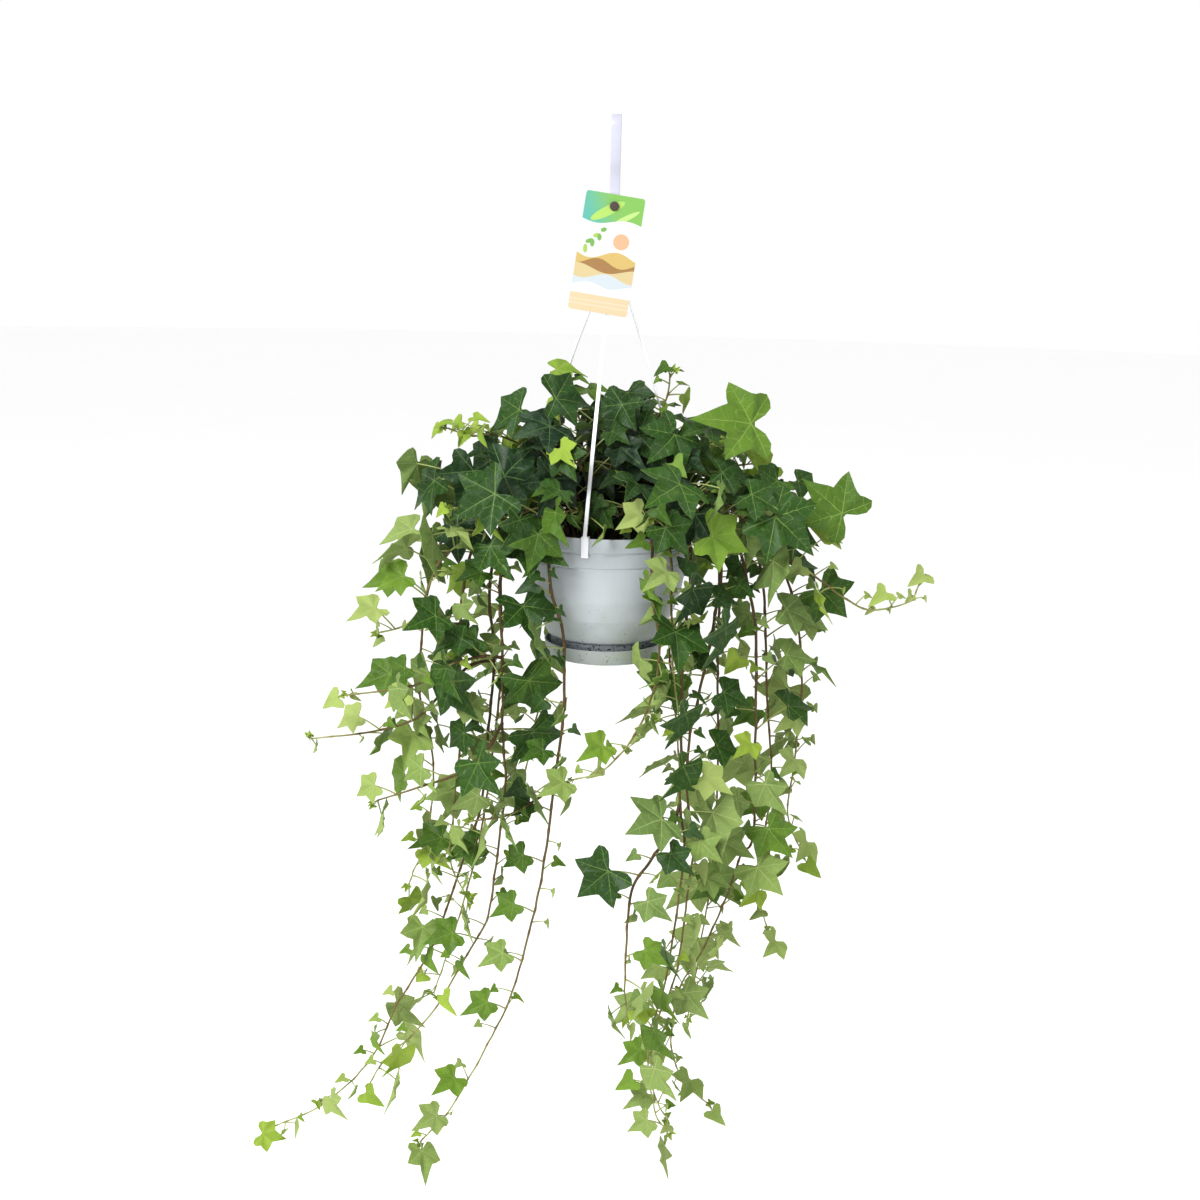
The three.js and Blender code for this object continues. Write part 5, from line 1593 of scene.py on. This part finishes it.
class IVY_OT_card(bpy.types.Operator):
    """Cuts the printed card that hangs on the strap's peg"""

    bl_idname = "ivy.card"
    bl_label = "Card"

    def execute(self, context):
        top = CARD_TOP - PEG_Z
        right, high = CARD_W / 2 - CARD_CORNER, top - CARD_CORNER
        low = high - CARD_H + 2 * CARD_CORNER
        outline = [
            (cx + x, cy + y) for cx, cy, start in (
                (right, high, 0), (-right, high, 90), (-right, low, 180), (right, low, 270))
            for x, y in ring_of(7, CARD_CORNER, start, 105)]
        sheet = bpy.data.curves.new("card_outline", "CURVE")
        sheet.dimensions = "2D"
        sheet.fill_mode = "BOTH"
        sheet.extrude = CARD_T / 2 * MM
        for ring in (outline, ring_of(24, PEG_R + GAP)):
            spline = sheet.splines.new("POLY")
            spline.points.add(len(ring) - 1)
            spline.points.foreach_set(
                "co", [c for x, y in ring for c in (x * MM, y * MM, 0.0, 1.0)])
            spline.use_cyclic_u = True
        cut = bpy.data.objects.new("card_outline", sheet)
        context.scene.collection.objects.link(cut)
        mesh = bpy.data.meshes.new_from_object(
            cut.evaluated_get(context.evaluated_depsgraph_get()))
        bpy.data.objects.remove(cut)
        bpy.data.curves.remove(sheet)
        mesh.materials.clear()
        shell = bmesh.new()
        shell.from_mesh(mesh)
        bmesh.ops.remove_doubles(shell, verts=shell.verts, dist=1e-6)
        bmesh.ops.recalc_face_normals(shell, faces=shell.faces)
        for old in list(shell.loops.layers.uv):
            shell.loops.layers.uv.remove(old)
        layer = shell.loops.layers.uv.new("UVMap")
        front = CARD_T / 2 * MM * 0.99
        for face in shell.faces:
            printed = all(vert.co.z > front for vert in face.verts)
            for loop in face.loops:
                u = loop.vert.co.x / MM / CARD_W + 0.5
                v = (loop.vert.co.y / MM - top) / CARD_H + 1.0
                # The map of what isn't printed lies left of the print
                loop[layer].uv = (u if printed else -1.5 - u, v)
        place = (
            Matrix.Translation((0, CARD_Y * MM, PEG_Z * MM))
            @ Matrix.Rotation(math.radians(CARD_LEAN), 4, "Y")
            @ Matrix.Rotation(math.radians(90 - CARD_FORWARD), 4, "X")
            @ Matrix.Translation((0, 0, CARD_T / 2 * MM)))
        bmesh.ops.transform(shell, matrix=place, verts=shell.verts)
        shell.to_mesh(mesh)
        shell.free()
        mesh.shade_flat()
        piece = put_in_scene("card", mesh, card_material(context.scene.ivy_holder))
        belongs(piece, "label_card")
        return {"FINISHED"}


class IVY_OT_stems(bpy.types.Operator):
    """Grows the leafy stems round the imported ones"""

    bl_idname = "ivy.stems"
    bl_label = "Leafy stems"

    # What the finishes read of a grown mesh. The rest is dropped when it is done.
    READ = ("tone", "mark", "under", "pale", "age", "joint", "UVMap", "material_index",
            "sharp_face", "sharp_edge")

    def execute(self, context):
        look = context.scene.ivy_plant
        forms = bpy.data.collections.new("leaf_forms")
        for kind, (edge, veins, rings) in enumerate(LEAF_KINDS):
            for k in range(LEAF_VARIANTS):
                name = "leaf_form_%02d" % (kind * LEAF_VARIANTS + k)
                mesh = leaf_form(name, edge, veins, rings, 100 * kind + k)
                forms.objects.link(bpy.data.objects.new(name, mesh))
        tree = leafy_tree()
        values = {
            "Leaf Forms": forms, "Blade Thickness": look.blade_thickness,
            "Stem Sides": look.stem_sides, "Ruffle": RUFFLE,
            "Leaf Finish": leaf_material(look), "Stem Finish": stem_material(look)}
        for name, skeleton in grown_skeletons(look).items():
            piece = grown_by(tree, name + "_leafy", skeleton.mesh(name), values)
            attributes = piece.data.attributes
            spare = [a.name for a in attributes if not a.is_required and not a.is_internal]
            for layer in set(spare) - set(self.READ):
                attributes.remove(attributes[layer])
            belongs(piece, name)
        for form in list(forms.objects):
            discard(form)
        bpy.data.collections.remove(forms)
        return {"FINISHED"}


OPERATORS = (
    IVY_OT_stage, IVY_OT_pot, IVY_OT_saucer, IVY_OT_soil, IVY_OT_hanger, IVY_OT_card,
    IVY_OT_stems,
)
LOOKS = (("ivy_plant", PlantLook, "Plant"), ("ivy_holder", HolderLook, "Pot and hanger"),
         ("ivy_stage", StageLook, "Stage"))


class IVY_PT_panel(bpy.types.Panel):
    """Lists the pieces and their sizes and colours"""

    bl_idname = "IVY_PT_panel"
    bl_label = "Hanging ivy"
    bl_space_type = "VIEW_3D"
    bl_region_type = "UI"
    bl_category = "Ivy"

    def draw(self, context):
        layout = self.layout
        for operator in OPERATORS:
            layout.operator(operator.bl_idname)
        for key, group, title in LOOKS:
            box = layout.box()
            box.label(text=title)
            for name in group.__annotations__:
                box.prop(getattr(context.scene, key), name)


CLASSES = (*(group for _, group, _ in LOOKS), *OPERATORS, IVY_PT_panel)


def register():
    for one in CLASSES:
        bpy.utils.register_class(one)
    for key, group, _ in LOOKS:
        setattr(bpy.types.Scene, key, PointerProperty(type=group))


def unregister():
    for key, _, _ in LOOKS:
        delattr(bpy.types.Scene, key)
    for one in reversed(CLASSES):
        bpy.utils.unregister_class(one)


def main():
    register()
    for operator in OPERATORS:
        getattr(bpy.ops.ivy, operator.bl_idname.split(".")[1])()
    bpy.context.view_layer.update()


if __name__ == "__main__":
    main()
